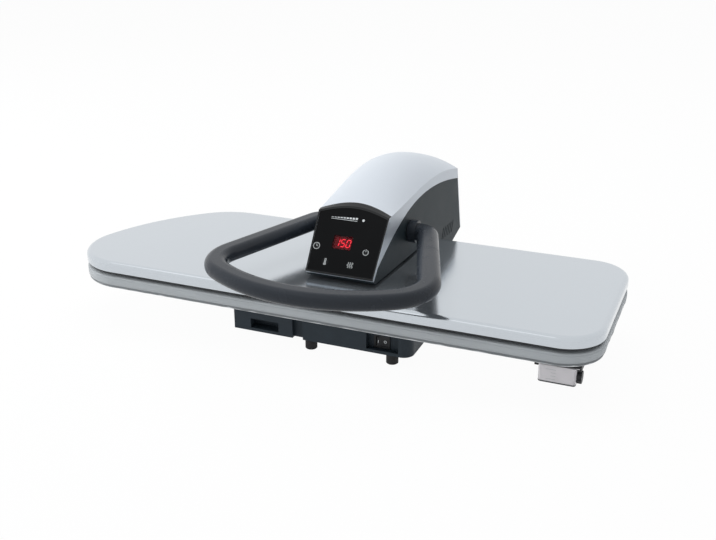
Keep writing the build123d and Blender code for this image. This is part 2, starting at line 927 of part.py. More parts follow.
# Foam pad in the pan and fabric cover round both, hemmed under the edge
pad_low_z = pan_bottom_z + pan_gauge + pad_gap
pad_high_z = board_top_z - cover_cloth - pad_gap
with BuildPart() as board_pad:
    with BuildSketch(Plane.XY.offset(pad_low_z)):
        BoardOutline(inset=pan_inset + pan_gauge + pad_gap)
    extrude(amount=pad_high_z - pad_low_z)
save(board_pad, "board_pad")

with BuildPart() as board_cover:
    with BuildSketch(Plane.XY.offset(board_bottom_z)):
        BoardOutline()
    extrude(amount=board_thickness)
    fillet(board_cover.edges().group_by(Axis.Z)[-1], radius=cover_edge)
    with BuildSketch(Plane.XY.offset(board_bottom_z + cover_fold)):
        BoardOutline(inset=cover_cloth)
    extrude(amount=board_thickness - cover_fold - cover_cloth, mode=Mode.SUBTRACT)
    with BuildSketch(Plane.XY.offset(board_bottom_z)):
        BoardOutline(inset=cover_hem)
    extrude(amount=cover_fold, mode=Mode.SUBTRACT)
save(board_cover, "board_cover")

# Dock under the board's right end: a plate with two rails, a rear stop and the outlet socket
tank_rear_y = tank_front_y + tank_length
tank_top_z = tank_bottom_z + tank_height
dock_left = tank_left - tank_flange - slide_gap - dock_wall
dock_right = tank_right + tank_flange + slide_gap + dock_wall
dock_low_z = tank_top_z + slide_gap
dock_high_z = board_bottom_z - seat_gap
flange_low_z = tank_top_z - tank_wall
rail_low = flange_low_z - slide_gap - dock_wall
dock_front_y = tank_front_y + dock_lip
socket_rear_y = tank_rear_y + valve_length + socket_wall
with BuildPart() as tank_dock:
    Block((dock_left, dock_front_y, dock_low_z), (dock_right, socket_rear_y, dock_high_z))
    for wall_low, wall_high, lip_low, lip_high in (
        (dock_left, dock_left + dock_wall, dock_left, tank_left - slide_gap),
        (dock_right - dock_wall, dock_right, tank_right + slide_gap, dock_right),
    ):
        Block((wall_low, dock_front_y, rail_low), (wall_high, tank_rear_y, dock_low_z))
        Block(
            (lip_low, dock_front_y, rail_low),
            (lip_high, tank_rear_y, rail_low + dock_wall),
        )
    # Outlet socket behind the tank, with a spigot to the left for the water tube
    socket_x = (tank_left + tank_right) / 2
    Block(
        (
            socket_x - valve_radius - socket_wall,
            tank_rear_y + slide_gap,
            valve_z - valve_radius - socket_wall,
        ),
        (socket_x + valve_radius + socket_wall, socket_rear_y, dock_low_z),
    )
    with BuildSketch(Plane.XZ.offset(-(tank_rear_y + slide_gap))):
        with Locations((socket_x, valve_z)):
            Circle(valve_radius + slide_gap)
    extrude(amount=-valve_length, mode=Mode.SUBTRACT)
    spigot_end = socket_x - valve_radius - socket_wall - dock_plate
    CrossRod(
        spigot_end, socket_x - valve_radius - socket_wall, tube_y, valve_z, water_tube_bore
    )
save(tank_dock, "tank_dock")

# Clear water tank: a hollow box with runners along its top and a filler neck on the right
neck_y = tank_front_y + tank_neck_radius + dock_wall
neck_z = tank_bottom_z + tank_neck_radius + dock_plate
with BuildPart() as water_tank:
    Block(
        (tank_left, tank_front_y, tank_bottom_z),
        (tank_right, tank_rear_y, tank_top_z),
        radius=tank_corner,
    )
    fillet(water_tank.edges().group_by(Axis.Z)[0], radius=tank_wall)
    Block(
        (tank_left - tank_flange, tank_front_y + tank_corner, flange_low_z),
        (tank_right + tank_flange, tank_rear_y - tank_corner, tank_top_z),
    )
    Block(
        (tank_left + tank_wall, tank_front_y + tank_wall, tank_bottom_z + tank_wall),
        (tank_right - tank_wall, tank_rear_y - tank_wall, tank_top_z - tank_wall),
        radius=tank_corner - tank_wall,
        mode=Mode.SUBTRACT,
    )
    CrossRod(tank_right, tank_right + tank_neck_length, neck_y, neck_z, tank_neck_radius - cap_wall)
    CrossRod(
        tank_right - tank_wall,
        tank_right + tank_neck_length,
        neck_y,
        neck_z,
        tank_neck_bore,
        mode=Mode.SUBTRACT,
    )
    with BuildSketch(Plane.XZ.offset(-(tank_rear_y - tank_wall))):
        with Locations((socket_x, valve_z)):
            Circle(water_tube_radius + running_gap)
    extrude(amount=-tank_wall, mode=Mode.SUBTRACT)
save(water_tank, "water_tank")

# Filler cap over the neck
with BuildPart() as tank_cap:
    CrossRod(tank_right + seat_gap, tank_right + cap_height, neck_y, neck_z, cap_radius)
    fillet(tank_cap.edges().group_by(Axis.X)[-1], radius=cap_edge)
    with BuildSketch(
        Plane(origin=(tank_right, neck_y, neck_z), x_dir=(0, 1, 0), z_dir=(1, 0, 0))
    ):
        with PolarLocations(cap_radius, cap_notches):
            Circle(cap_notch_radius)
    extrude(amount=cap_height + seat_gap, mode=Mode.SUBTRACT)
    CrossRod(
        tank_right + seat_gap,
        tank_right + tank_neck_length + seat_gap,
        neck_y,
        neck_z,
        tank_neck_radius - cap_wall + running_gap,
        mode=Mode.SUBTRACT,
    )
save(tank_cap, "tank_cap")

# Outlet valve in the tank's rear wall
with BuildPart() as tank_valve:
    with BuildSketch(Plane.XZ.offset(-tank_rear_y)):
        with Locations((socket_x, valve_z)):
            Circle(valve_radius)
            Circle(water_tube_bore, mode=Mode.SUBTRACT)
    extrude(amount=-(valve_length - slide_gap))
    with BuildSketch(Plane.XZ.offset(-(tank_rear_y - tank_wall * 2))):
        with Locations((socket_x, valve_z)):
            Circle(water_tube_radius)
            Circle(water_tube_bore, mode=Mode.SUBTRACT)
    extrude(amount=-tank_wall * 2)
save(tank_valve, "tank_valve")

# Water tube from the dock's spigot into the base's right wall, and its clip under the board
with BuildPart() as water_tube:
    CrossRod(
        base_right - base_wall - seat_gap,
        spigot_end + dock_plate - seat_gap,
        tube_y,
        valve_z,
        water_tube_radius,
        bore=water_tube_bore + running_gap,
    )
save(water_tube, "water_tube")


class ArmCap(BasePartObject):
    """Everything above the crease strip and behind the tail line, moved out by `drop`."""

    def __init__(self, drop=0.0, mode=Mode.ADD):
        far_y = arm_sections[-1][0] + arm_rear_half
        tail_high_y = arm_tail_y - rear_strip - drop - arm_tail_slope * (arm_sky_z - arm_tail_z)
        tail_low_y = tail_high_y + arm_tail_slope * (arm_sky_z - arm_skirt_z)
        crease = [
            (section_y, crease_z - strip_depth - drop)
            for section_y, crease_z, crown, strip_depth in arm_sections
        ]
        with BuildPart() as cap:
            with BuildSketch(side_plane):
                with BuildLine():
                    strip = Spline(*crease)
                    Polyline(
                        strip @ 1,
                        (far_y, arm_shoulder_z),
                        (far_y, arm_sky_z),
                        (crease[0][0], arm_sky_z),
                        strip @ 0,
                    )
                make_face()
                with BuildLine():
                    Polyline(
                        (tail_low_y, arm_skirt_z),
                        (far_y, arm_skirt_z),
                        (far_y, arm_sky_z),
                        (tail_high_y, arm_sky_z),
                        close=True,
                    )
                make_face()
            extrude(amount=2 * arm_rear_half, both=True)
        super().__init__(part=cap.part, mode=mode)


class MiddleSlab(BasePartObject):
    """A slab of the given half-width about the arm's middle plane."""

    def __init__(self, half, mode=Mode.ADD):
        with BuildPart() as slab:
            with BuildSketch(Plane.YZ.offset(arm_x - half)):
                Rectangle(board_length, board_length)
            extrude(amount=2 * half)
        super().__init__(part=slab.part, mode=mode)


# Arm shell before it is parted into covers, open towards the control panel
with BuildPart() as arm_shell:
    ArmVolume(front=covers_front)
    ArmVolume(inset=arm_wall, front=-covers_front, mode=Mode.SUBTRACT)

# Silver top cover, down to a strip below the crease that deepens beside the panel, and round the tail
with BuildPart() as arm_top_cover:
    add(arm_shell.part)
    ArmCap(mode=Mode.INTERSECT)
save(arm_top_cover, "arm_top_cover")

# Dark side covers, each with a round seat for the handle's hub and air slots at the rear
with BuildPart() as side_shells:
    add(arm_shell.part)
    ArmCap(drop=seat_gap, mode=Mode.SUBTRACT)
    MiddleSlab(side_flange_x, mode=Mode.SUBTRACT)
    # Bosses that seat each cover on its rail, the front one round the handle's pin
    front_boss_radius = handle_pin_radius + bush_wall + cover_boss_wall
    for boss_y, boss_z, radius in (
        (handle_pivot_y, handle_pivot_z, front_boss_radius),
        (cover_boss_y, cover_boss_z, cover_boss_radius),
    ):
        boss_end = arm_half_width(boss_y) - arm_wall / 2
        CrossRod(arm_x - boss_end, arm_x - rail_outer_half - seat_gap, boss_y, boss_z, radius)
        CrossRod(arm_x + rail_outer_half + seat_gap, arm_x + boss_end, boss_y, boss_z, radius)
    CrossRod(
        arm_x - arm_rear_half,
        arm_x + arm_rear_half,
        handle_pivot_y,
        handle_pivot_z,
        handle_pin_radius + seat_gap,
        mode=Mode.SUBTRACT,
    )
    CrossRod(
        arm_x - rail_outer_half - bush_wall,
        arm_x + rail_outer_half + bush_wall,
        handle_pivot_y,
        handle_pivot_z,
        handle_pin_radius + bush_wall + seat_gap,
        mode=Mode.SUBTRACT,
    )
    with BuildSketch(side_plane):
        for step in range(vent_count):
            with Locations((vent_rear_y - step * vent_pitch, vent_z)):
                SlotOverall(vent_length, vent_width, rotation=vent_lean)
    extrude(amount=2 * arm_rear_half, both=True, mode=Mode.SUBTRACT)
for name, side in (("arm_left_cover", 0), ("arm_right_cover", -1)):
    with BuildPart() as side_cover:
        add(side_shells.part.solids().sort_by(Axis.X)[side])
    save(side_cover, name)

# Under cover with the opening for the head's pivot and the step before the hinge
with BuildPart() as arm_under_cover:
    add(arm_shell.part)
    ArmCap(drop=seat_gap, mode=Mode.SUBTRACT)
    MiddleSlab(side_flange_x - seat_gap, mode=Mode.INTERSECT)
    with BuildSketch(Plane.XY.offset(arm_bottom_rear_z - arm_wall)):
        with Locations((arm_x, arm_step_y + arm_wall + arm_rear_half)):
            Rectangle(2 * arm_rear_half, 2 * arm_rear_half)
    extrude(amount=arm_shoulder_z, mode=Mode.SUBTRACT)
    Block(
        (
            arm_x - mount_length / 2 - mount_opening_margin,
            pivot_y - mount_depth / 2 - mount_opening_margin,
            arm_bottom_z - arm_wall,
        ),
        (
            arm_x + mount_length / 2 + mount_opening_margin,
            pivot_y + mount_depth / 2 + mount_opening_margin,
            arm_bottom_z + 2 * arm_wall,
        ),
        mode=Mode.SUBTRACT,
    )
save(arm_under_cover, "arm_under_cover")

# Steel frame: two rails with eyes for the hinge shaft, a top web and the bar the springs lift
rail_rear_y = hinge_y + hinge_eye_radius + flange_margin
with BuildPart() as arm_frame:
    with BuildSketch(Plane.YZ.offset(arm_x - rail_outer_half)):
        with BuildLine():
            Polyline(
                (hinge_y - hinge_eye_radius, hinge_z),
                (arm_step_y + 2 * arm_wall, rail_low_z),
                (rail_front_y, rail_low_z),
                (rail_front_y - flange_margin, rail_high_z + rail_web),
                (rail_rear_y, rail_high_z + rail_web),
                (rail_rear_y, rail_low_z),
                (hinge_y + hinge_eye_radius, hinge_z),
                close=True,
            )
        make_face()
        with Locations((hinge_y, hinge_z)):
            Circle(hinge_eye_radius)
            Circle(hinge_shaft_radius + running_gap, mode=Mode.SUBTRACT)
        with Locations((pivot_y, pivot_z)):
            Circle(pivot_pin_radius + running_gap, mode=Mode.SUBTRACT)
        with Locations((handle_pivot_y, handle_pivot_z)):
            Circle(handle_pin_radius + bush_wall, mode=Mode.SUBTRACT)
        hole_start = handle_pivot_y + handle_boss_radius + rail_hole_radius
        hole_z = (rail_low_z + rail_high_z) / 2
        with Locations((hole_start, hole_z), (hole_start + rail_hole_pitch, hole_z)):
            Circle(rail_hole_radius, mode=Mode.SUBTRACT)
    extrude(amount=2 * rail_outer_half)
    with BuildSketch(Plane.XY.offset(hinge_z - 2 * hinge_eye_radius)):
        with Locations((arm_x, (rail_front_y + rail_rear_y) / 2)):
            Rectangle(2 * rail_inner_half, 2 * (rail_rear_y - rail_front_y))
    extrude(amount=rail_high_z - hinge_z + 2 * hinge_eye_radius, mode=Mode.SUBTRACT)
    with BuildSketch(Plane.XY.offset(rail_high_z)):
        with Locations((arm_x, handle_pivot_y), (arm_x, hinge_y - rail_hole_pitch)):
            RectangleRounded(rail_inner_half, 2 * rail_hole_radius, rail_web)
    extrude(amount=rail_web, mode=Mode.SUBTRACT)
    # Bar between the rails, just above the springs' levers
    CrossRod(
        arm_x - rail_inner_half - rail_web / 2,
        arm_x + rail_inner_half + rail_web / 2,
        hinge_y - spring_lever + spring_bar_radius,
        hinge_z + spring_radius + spring_wire / 2 + seat_gap + spring_bar_radius,
        spring_bar_radius,
    )
save(arm_frame, "arm_frame")

# Bronze bushes in the rails for the handle's pins
with BuildPart() as handle_bushes:
    for side in (-1, 1):
        inner = arm_x + side * (rail_inner_half - seat_gap)
        outer = arm_x + side * (rail_outer_half + bush_wall / 2)
        CrossRod(
            min(inner, outer),
            max(inner, outer),
            handle_pivot_y,
            handle_pivot_z,
            handle_pin_radius + bush_wall - running_gap,
            bore=handle_pin_radius + running_gap,
        )
save(handle_bushes, "handle_bushes")

# Hinge bracket: two ears on a flange that is bolted to the tower's deck
with BuildPart() as hinge_bracket:
    Block(
        (arm_x - flange_half, flange_front_y, tower_deck_z),
        (arm_x + flange_half, flange_rear_y, flange_top_z),
        radius=flange_margin / 2,
    )
    for side in (-1, 1):
        start_x = arm_x + (ear_inner_half if side > 0 else -ear_outer_half)
        with BuildSketch(Plane.YZ.offset(start_x)):
            with Locations((hinge_y, hinge_z)):
                Circle(hinge_eye_radius)
            with Locations(((flange_front_y + flange_rear_y) / 2, flange_top_z)):
                Rectangle(flange_rear_y - flange_front_y - flange_margin, flange_thickness)
            make_hull()
            with Locations((hinge_y, hinge_z)):
                Circle(hinge_shaft_radius + running_gap, mode=Mode.SUBTRACT)
        extrude(amount=ear_thickness)
    with BuildSketch(Plane.XY.offset(tower_deck_z)):
        with Locations(flange_bolt_places):
            Circle(flange_bolt_radius + running_gap)
    extrude(amount=flange_thickness, mode=Mode.SUBTRACT)
save(hinge_bracket, "hinge_bracket")

with BuildPart() as bracket_bolts:
    with BuildSketch(Plane.XY.offset(flange_top_z)):
        with Locations(flange_bolt_places):
            RegularPolygon(flange_bolt_head, 6)
    extrude(amount=flange_bolt_radius)
    with BuildSketch(Plane.XY.offset(flange_top_z)):
        with Locations(flange_bolt_places):
            Circle(flange_bolt_radius)
    extrude(amount=-(flange_thickness + base_wall))
save(bracket_bolts, "bracket_bolts")

# Hinge shaft through the ears and rails, held by a clip at each end
shaft_half = rail_outer_half + 2 * clip_thickness
with BuildPart() as hinge_shaft:
    CrossRod(arm_x - shaft_half, arm_x + shaft_half, hinge_y, hinge_z, hinge_shaft_radius)
    chamfer(hinge_shaft.edges().filter_by(GeomType.CIRCLE), length=clip_thickness / 2)
save(hinge_shaft, "hinge_shaft")

with BuildPart() as hinge_clips:
    for start_x in (
        arm_x - rail_outer_half - seat_gap - clip_thickness,
        arm_x + rail_outer_half + seat_gap,
    ):
        CrossRod(
            start_x,
            start_x + clip_thickness,
            hinge_y,
            hinge_z,
            hinge_shaft_radius + 2 * clip_thickness,
            bore=hinge_shaft_radius + running_gap,
        )
save(hinge_clips, "hinge_clips")

# Two square-wire coil springs round the shaft: each pushes down on the flange and lifts the frame's bar
with BuildPart() as counter_springs:
    start_x = arm_x + spring_offset
    with BuildLine():
        coil = Helix(
            spring_pitch,
            (spring_turns + spring_end_turn) * spring_pitch,
            spring_radius,
            center=(start_x, hinge_y, hinge_z),
            direction=(1, 0, 0),
            lefthand=True,
        )
    with BuildSketch(Plane(origin=coil @ 0, x_dir=(0, 0, 1), z_dir=coil % 0)):
        Rectangle(spring_wire, spring_wire)
    sweep(path=coil, is_frenet=True)
    with BuildSketch(Plane(origin=coil @ 0, x_dir=(1, 0, 0), z_dir=(0, -1, 0))):
        Rectangle(spring_wire, spring_wire)
    extrude(amount=spring_lever)
    with BuildSketch(Plane(origin=coil @ 1, x_dir=(1, 0, 0), z_dir=(0, 0, -1))):
        Rectangle(spring_wire, spring_wire)
    extrude(amount=(coil @ 1).Z - flange_top_z - seat_gap)
    mirror(about=Plane.YZ.offset(arm_x))
save(counter_springs, "counter_springs")

# Silver rim round the control panel
with BuildPart() as panel_rim:
    ArmVolume()
    ArmVolume(front=panel_rim_depth, mode=Mode.SUBTRACT)
    ArmVolume(inset=panel_rim_width, front=-panel_rim_depth, mode=Mode.SUBTRACT)
save(panel_rim, "panel_rim")

# Gloss panel with round holes for the keys and a window for the display
with BuildPart() as control_panel:
    ArmVolume(inset=panel_rim_width + seat_gap, front=panel_recess)
    ArmVolume(front=fascia_back, mode=Mode.SUBTRACT)
    with BuildSketch(panel_plane):
        with Locations(key_places):
            Circle(key_diameter / 2 + key_gap)
        with Locations((layout_x, window_up)):
            RectangleRounded(window_width, window_height, window_corner)
    extrude(amount=-2 * fascia_back, mode=Mode.SUBTRACT)
save(control_panel, "control_panel")

with BuildPart() as display_window:
    with BuildSketch(panel_plane.offset(-panel_recess)):
        with Locations((layout_x, window_up)):
            RectangleRounded(
                window_width - 2 * key_gap, window_height - 2 * key_gap, window_corner
            )
    extrude(amount=-(panel_thickness - panel_recess))
save(display_window, "display_window")

# Carrier behind the panel with standoffs for the control board
board_corners = [
    (
        x_side * (control_board_width / 2 - standoff_inset / 2),
        window_up + y_side * (control_board_height / 2 - standoff_inset / 2) - layout_drop,
    )
    for x_side in (-1, 1)
    for y_side in (-1, 1)
]
with BuildPart() as panel_carrier:
    ArmVolume(inset=panel_rim_width + seat_gap, front=fascia_back)
    ArmVolume(front=carrier_back, mode=Mode.SUBTRACT)
    with BuildSketch(panel_plane.offset(-carrier_back)):
        with Locations(board_corners):
            Circle(carrier_standoff_radius)
    extrude(amount=-board_standoff)
    with BuildSketch(panel_plane):
        with Locations(key_places):
            Circle(key_stem_radius + seat_gap)
        with Locations((layout_x, window_up)):
            Rectangle(window_width - module_border, window_height - module_border)
    extrude(amount=-2 * carrier_back, mode=Mode.SUBTRACT)
save(panel_carrier, "panel_carrier")

# Display module between the window and the control board
with BuildPart() as display_module:
    with BuildSketch(panel_plane.offset(-panel_thickness - seat_gap)):
        with Locations((layout_x, window_up)):
            Rectangle(window_width - 2 * module_border, window_height - 2 * module_border)
    extrude(amount=-(board_front - panel_thickness - seat_gap))
save(display_module, "display_module")

# Control board with a small push switch under each key
collar_front = carrier_back + seat_gap
stem_end = collar_front + key_collar
tact_top = stem_end + key_travel + key_gap
with BuildPart() as control_board:
    with BuildSketch(panel_plane.offset(-board_front)):
        with Locations((0, window_up - layout_drop)):
            RectangleRounded(control_board_width, control_board_height, standoff_radius)
    extrude(amount=-circuit_thickness)
    with BuildSketch(panel_plane.offset(-board_front)):
        with Locations(key_places):
            Rectangle(tact_size, tact_size)
    extrude(amount=board_front - tact_top)
    with BuildSketch(panel_plane.offset(-board_front - circuit_thickness)):
        with Locations((0, window_up - layout_drop)):
            Rectangle(control_board_width / 2, tact_size)
    extrude(amount=-tact_size)
save(control_board, "control_board")

# Round keys, each with a stem through the carrier and a collar behind it
key_names = ("time_key", "temperature_key", "steam_key", "start_key")
for name, place in zip(key_names, key_places):
    with BuildPart() as key:
        with BuildSketch(panel_plane.offset(key_gap - panel_recess)):
            with Locations(place):
                Circle(key_diameter / 2)
        extrude(amount=-key_head)
        fillet(key.faces().sort_by(Axis(panel_plane.origin, panel_plane.z_dir))[-1].edges(), key_edge)
        with BuildSketch(panel_plane.offset(-panel_recess)):
            with Locations(place):
                Circle(key_stem_radius)
        extrude(amount=-(stem_end - panel_recess))
        with BuildSketch(panel_plane.offset(-collar_front)):
            with Locations(place):
                Circle(key_stem_radius + key_collar_step)
        extrude(amount=-key_collar)
    save(key, name)


class HandleBar(BasePartObject):
    """The hoop laid flat: a rounded bar swept from pivot to pivot, `inset` inside its skin."""

    def __init__(self, inset=0.0, mode=Mode.ADD):
        flare = math.radians(handle_flare)
        bow = math.radians(handle_bow)
        reach = math.hypot(handle_pivot_y - handle_front_y, handle_pivot_z - handle_front_z)
        # The side run's length and the front bow's radius close the half hoop on its middle
        across = (
            handle_end_x
            + handle_lead
            + handle_end_radius * math.cos(flare)
            - handle_corner_radius * (math.cos(flare) - math.sin(bow))
        )
        down = (
            reach
            - handle_end_radius * (1 - math.sin(flare))
            - handle_corner_radius * (math.cos(bow) + math.sin(flare))
        )
        half_bow = math.tan(bow / 2)
        side_run = (down - across * half_bow) / (math.cos(flare) + half_bow * math.sin(flare))
        bow_radius = (across + side_run * math.sin(flare)) / math.sin(bow)
        end_turn = 90 - handle_flare
        corner_turn = 180 - handle_bow - end_turn
        with BuildPart() as bar:
            with BuildLine() as path:
                lead = Line((handle_end_x, 0), (handle_end_x + handle_lead, 0))
                end = JernArc(lead @ 1, lead % 1, handle_end_radius, -end_turn)
                run = PolarLine(end @ 1, side_run, direction=end % 1)
                corner = JernArc(run @ 1, run % 1, handle_corner_radius, -corner_turn)
                JernArc(corner @ 1, corner % 1, bow_radius, -handle_bow)
            with BuildSketch(Plane(origin=(handle_end_x, 0, 0), x_dir=(0, 1, 0), z_dir=(1, 0, 0))):
                RectangleRounded(
                    handle_width - 2 * inset,
                    handle_thickness - 2 * inset,
                    handle_edge - inset,
                )
            sweep(path=path.wires()[0])
            mirror(about=Plane.YZ)
        super().__init__(part=bar.part, mode=mode)


# Hollow hoop with solid hubs, before it is parted into an upper and a lower shell
hub_inner = arm_half_width(handle_pivot_y + handle_boss_radius) + hub_gap
hub_outer = handle_end_x + handle_lead
with BuildPart() as handle_hoop:
    with Locations(handle_plane):
        HandleBar()
        HandleBar(inset=handle_wall, mode=Mode.SUBTRACT)
    for inner, outer in ((-hub_outer, -hub_inner), (hub_inner, hub_outer)):
        CrossRod(
            arm_x + inner,
            arm_x + outer,
            handle_pivot_y,
            handle_pivot_z,
            handle_boss_radius,
            bore=handle_pin_radius + running_gap,
        )
    CrossRod(
        arm_x - hub_outer,
        arm_x + hub_outer,
        handle_pivot_y,
        handle_pivot_z,
        handle_pin_radius + running_gap,
        mode=Mode.SUBTRACT,
    )
for name, keep in (("handle_upper_shell", Keep.TOP), ("handle_lower_shell", Keep.BOTTOM)):
    with BuildPart() as handle_shell:
        add(handle_hoop.part)
        split(bisect_by=handle_plane, keep=keep)
    save(handle_shell, name)

# Pins from the rails through the side covers into the hubs, with heads inside the rails
pin_start = rail_inner_half - 2 * seat_gap
with BuildPart() as handle_pins:
    CrossRod(
        arm_x + pin_start,
        arm_x + hub_outer,
        handle_pivot_y,
        handle_pivot_z,
        handle_pin_radius,
    )
    CrossRod(
        arm_x + pin_start - pin_head_height,
        arm_x + pin_start,
        handle_pivot_y,
        handle_pivot_z,
        handle_pin_radius + pin_head_height,
    )
    mirror(about=Plane.YZ.offset(arm_x))
save(handle_pins, "handle_pins")

# Head cover: a shallow shell with a soft upper edge and the opening for the pivot mount
with BuildPart() as head_cavity:
    with BuildSketch(Plane.XY.offset(head_bottom_z)):
        BoardOutline(inset=head_wall)
    extrude(amount=head_top_z - head_wall - head_bottom_z)
    fillet(head_cavity.edges().group_by(Axis.Z)[-1], radius=head_edge - head_wall)

with BuildPart() as head_cover:
    with BuildSketch(Plane.XY.offset(head_bottom_z)):
        BoardOutline()
    extrude(amount=head_top_z - head_bottom_z)
    fillet(head_cover.edges().group_by(Axis.Z)[-1], radius=head_edge)
    add(head_cavity.part, mode=Mode.SUBTRACT)
    with BuildSketch(Plane.XY.offset(head_top_z)):
        with Locations((arm_x, pivot_y)):
            RectangleRounded(
                mount_length + 2 * mount_opening_margin,
                mount_depth + 2 * mount_opening_margin,
                mount_opening_margin,
            )
    extrude(amount=-2 * head_wall, mode=Mode.SUBTRACT)
save(head_cover, "head_cover")

# Heating plate with three rows of steam holes
plate_top_z = plate_bottom_z + plate_thickness
with BuildPart() as heating_plate:
    with BuildSketch(Plane.XY.offset(plate_bottom_z)):
        BoardOutline(inset=plate_inset)
    extrude(amount=plate_thickness)
    chamfer(heating_plate.edges().group_by(Axis.Z)[0], length=plate_chamfer)
    with BuildSketch(Plane.XY.offset(plate_bottom_z)):
        with Locations((0, plate_y)):
            with GridLocations(
                steam_hole_pitch_x, steam_hole_pitch_y, steam_hole_count_x, steam_hole_count_y
            ):
                Circle(steam_hole_radius)
    extrude(amount=plate_thickness, mode=Mode.SUBTRACT)
save(heating_plate, "heating_plate")

# Black gasket between the plate's edge and the cover
with BuildPart() as plate_gasket:
    with BuildSketch(Plane.XY.offset(head_bottom_z - gasket_lip)):
        BoardOutline(inset=gasket_inset)
        BoardOutline(inset=plate_inset - seat_gap, mode=Mode.SUBTRACT)
    extrude(amount=gasket_height)
save(plate_gasket, "plate_gasket")

# Tubular heating element: one long loop clamped on the plate
element_half = board_depth / 2 - element_inset
with BuildPart() as heating_element:
    with BuildLine(Plane.XY.offset(plate_top_z + element_radius + seat_gap)) as element_path:
        front_run = Line(
            (element_end_x, plate_y - element_half), (element_turn_x, plate_y - element_half)
        )
        turn = JernArc(front_run @ 1, front_run % 1, element_half, -180)
        Line(turn @ 1, (element_end_x, plate_y + element_half))
    with BuildSketch(
        Plane(
            origin=(element_end_x, plate_y - element_half, plate_top_z + element_radius + seat_gap),
            z_dir=(-1, 0, 0),
        )
    ):
        Circle(element_radius)
    sweep(path=element_path.wires()[0])
save(heating_element, "heating_element")

# Steam chamber and thermostat on the plate
with BuildPart() as steam_chamber:
    Block(
        (chamber_x - chamber_length / 2, plate_y - chamber_depth / 2, plate_top_z),
        (chamber_x + chamber_length / 2, plate_y + chamber_depth / 2, plate_top_z + head_wall * 2),
        radius=head_edge,
    )
    Block(
        (
            chamber_x - chamber_length / 2 + head_edge,
            plate_y - chamber_depth / 2 + head_edge,
            plate_top_z,
        ),
        (
            chamber_x + chamber_length / 2 - head_edge,
            plate_y + chamber_depth / 2 - head_edge,
            plate_top_z + chamber_height,
        ),
        radius=head_edge,
    )
save(steam_chamber, "steam_chamber")

with BuildPart() as thermostat:
    with BuildSketch(Plane.XY.offset(plate_top_z)):
        with Locations((thermostat_x, plate_y)):
            Circle(thermostat_radius)
    extrude(amount=chamber_height / 2)
    with BuildSketch(Plane.XY.offset(plate_top_z + chamber_height / 2)):
        with Locations((thermostat_x, plate_y)):
            Circle(thermostat_cap_radius)
    extrude(amount=chamber_height / 2)
save(thermostat, "thermostat")

# Insulation blanket under the cover's top
blanket_top_z = head_top_z - head_wall - seat_gap
with BuildPart() as insulation_blanket:
    with BuildSketch(Plane.XY.offset(blanket_top_z - blanket_thickness)):
        BoardOutline(inset=blanket_inset)
        with Locations((arm_x, pivot_y)):
            Rectangle(
                mount_length + 2 * mount_opening_margin,
                mount_depth + 2 * mount_opening_margin,
                mode=Mode.SUBTRACT,
            )
    extrude(amount=blanket_thickness)
save(insulation_blanket, "insulation_blanket")

# Pivot mount: two cheeks on a pad bolted to the plate, each with a bore for a rubber bush
with BuildPart() as pivot_mount:
    Block(
        (arm_x - mount_length / 2, pivot_y - mount_depth / 2, plate_top_z),
        (arm_x + mount_length / 2, pivot_y + mount_depth / 2, plate_top_z + mount_pad_height),
        radius=mount_opening_margin,
    )
    with BuildSketch(Plane.YZ.offset(arm_x - pivot_half_length)):
        with Locations((pivot_y, pivot_z)):
            Circle(pivot_boss_radius)
        with Locations((pivot_y, plate_top_z + mount_pad_height)):
            Rectangle(mount_depth - 2 * mount_opening_margin, head_wall)
        make_hull()
        with Locations((pivot_y, pivot_z)):
            Circle(pivot_pin_radius + bush_wall, mode=Mode.SUBTRACT)
    extrude(amount=2 * pivot_half_length)
    Block(
        (
            arm_x - pivot_half_length + cheek_width,
            pivot_y - mount_depth,
            plate_top_z + 2 * mount_pad_height,
        ),
        (
            arm_x + pivot_half_length - cheek_width,
            pivot_y + mount_depth,
            pivot_z + 2 * pivot_boss_radius,
        ),
        mode=Mode.SUBTRACT,
    )
save(pivot_mount, "pivot_mount")

with BuildPart() as pivot_bushes:
    for start_x in (arm_x - pivot_half_length, arm_x + pivot_half_length - cheek_width):
        CrossRod(
            start_x,
            start_x + cheek_width,
            pivot_y,
            pivot_z,
            pivot_pin_radius + bush_wall - running_gap,
            bore=pivot_pin_radius + running_gap,
        )
save(pivot_bushes, "pivot_bushes")

# Pin in the arm's rails that carries the head
with BuildPart() as pivot_pin:
    CrossRod(
        arm_x - rail_outer_half - clip_thickness,
        arm_x + rail_outer_half + clip_thickness,
        pivot_y,
        pivot_z,
        pivot_pin_radius,
    )
save(pivot_pin, "pivot_pin")
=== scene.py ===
"""Dresses a steam ironing press: cloth, markings, small fasteners, finishes and a studio."""

import json
import math

import bmesh
import bpy
from mathutils import Matrix, Vector, noise


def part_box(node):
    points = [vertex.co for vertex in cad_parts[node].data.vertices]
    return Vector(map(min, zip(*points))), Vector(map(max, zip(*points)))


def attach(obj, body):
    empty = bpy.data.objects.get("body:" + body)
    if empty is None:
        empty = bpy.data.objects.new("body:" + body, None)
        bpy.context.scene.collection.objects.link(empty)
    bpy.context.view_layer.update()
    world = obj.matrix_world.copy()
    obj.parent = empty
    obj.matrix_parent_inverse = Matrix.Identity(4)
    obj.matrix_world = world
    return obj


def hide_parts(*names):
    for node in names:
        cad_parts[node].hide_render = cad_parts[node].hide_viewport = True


bl_info = {
    "name": "Steam Ironing Press",
    "version": (1, 0, 0),
    "blender": (4, 5, 0),
    "location": "View3D > Sidebar > Steam Press",
    "description": "Cloth, markings, small fasteners and finishes for a steam ironing press",
    "category": "Object",
}

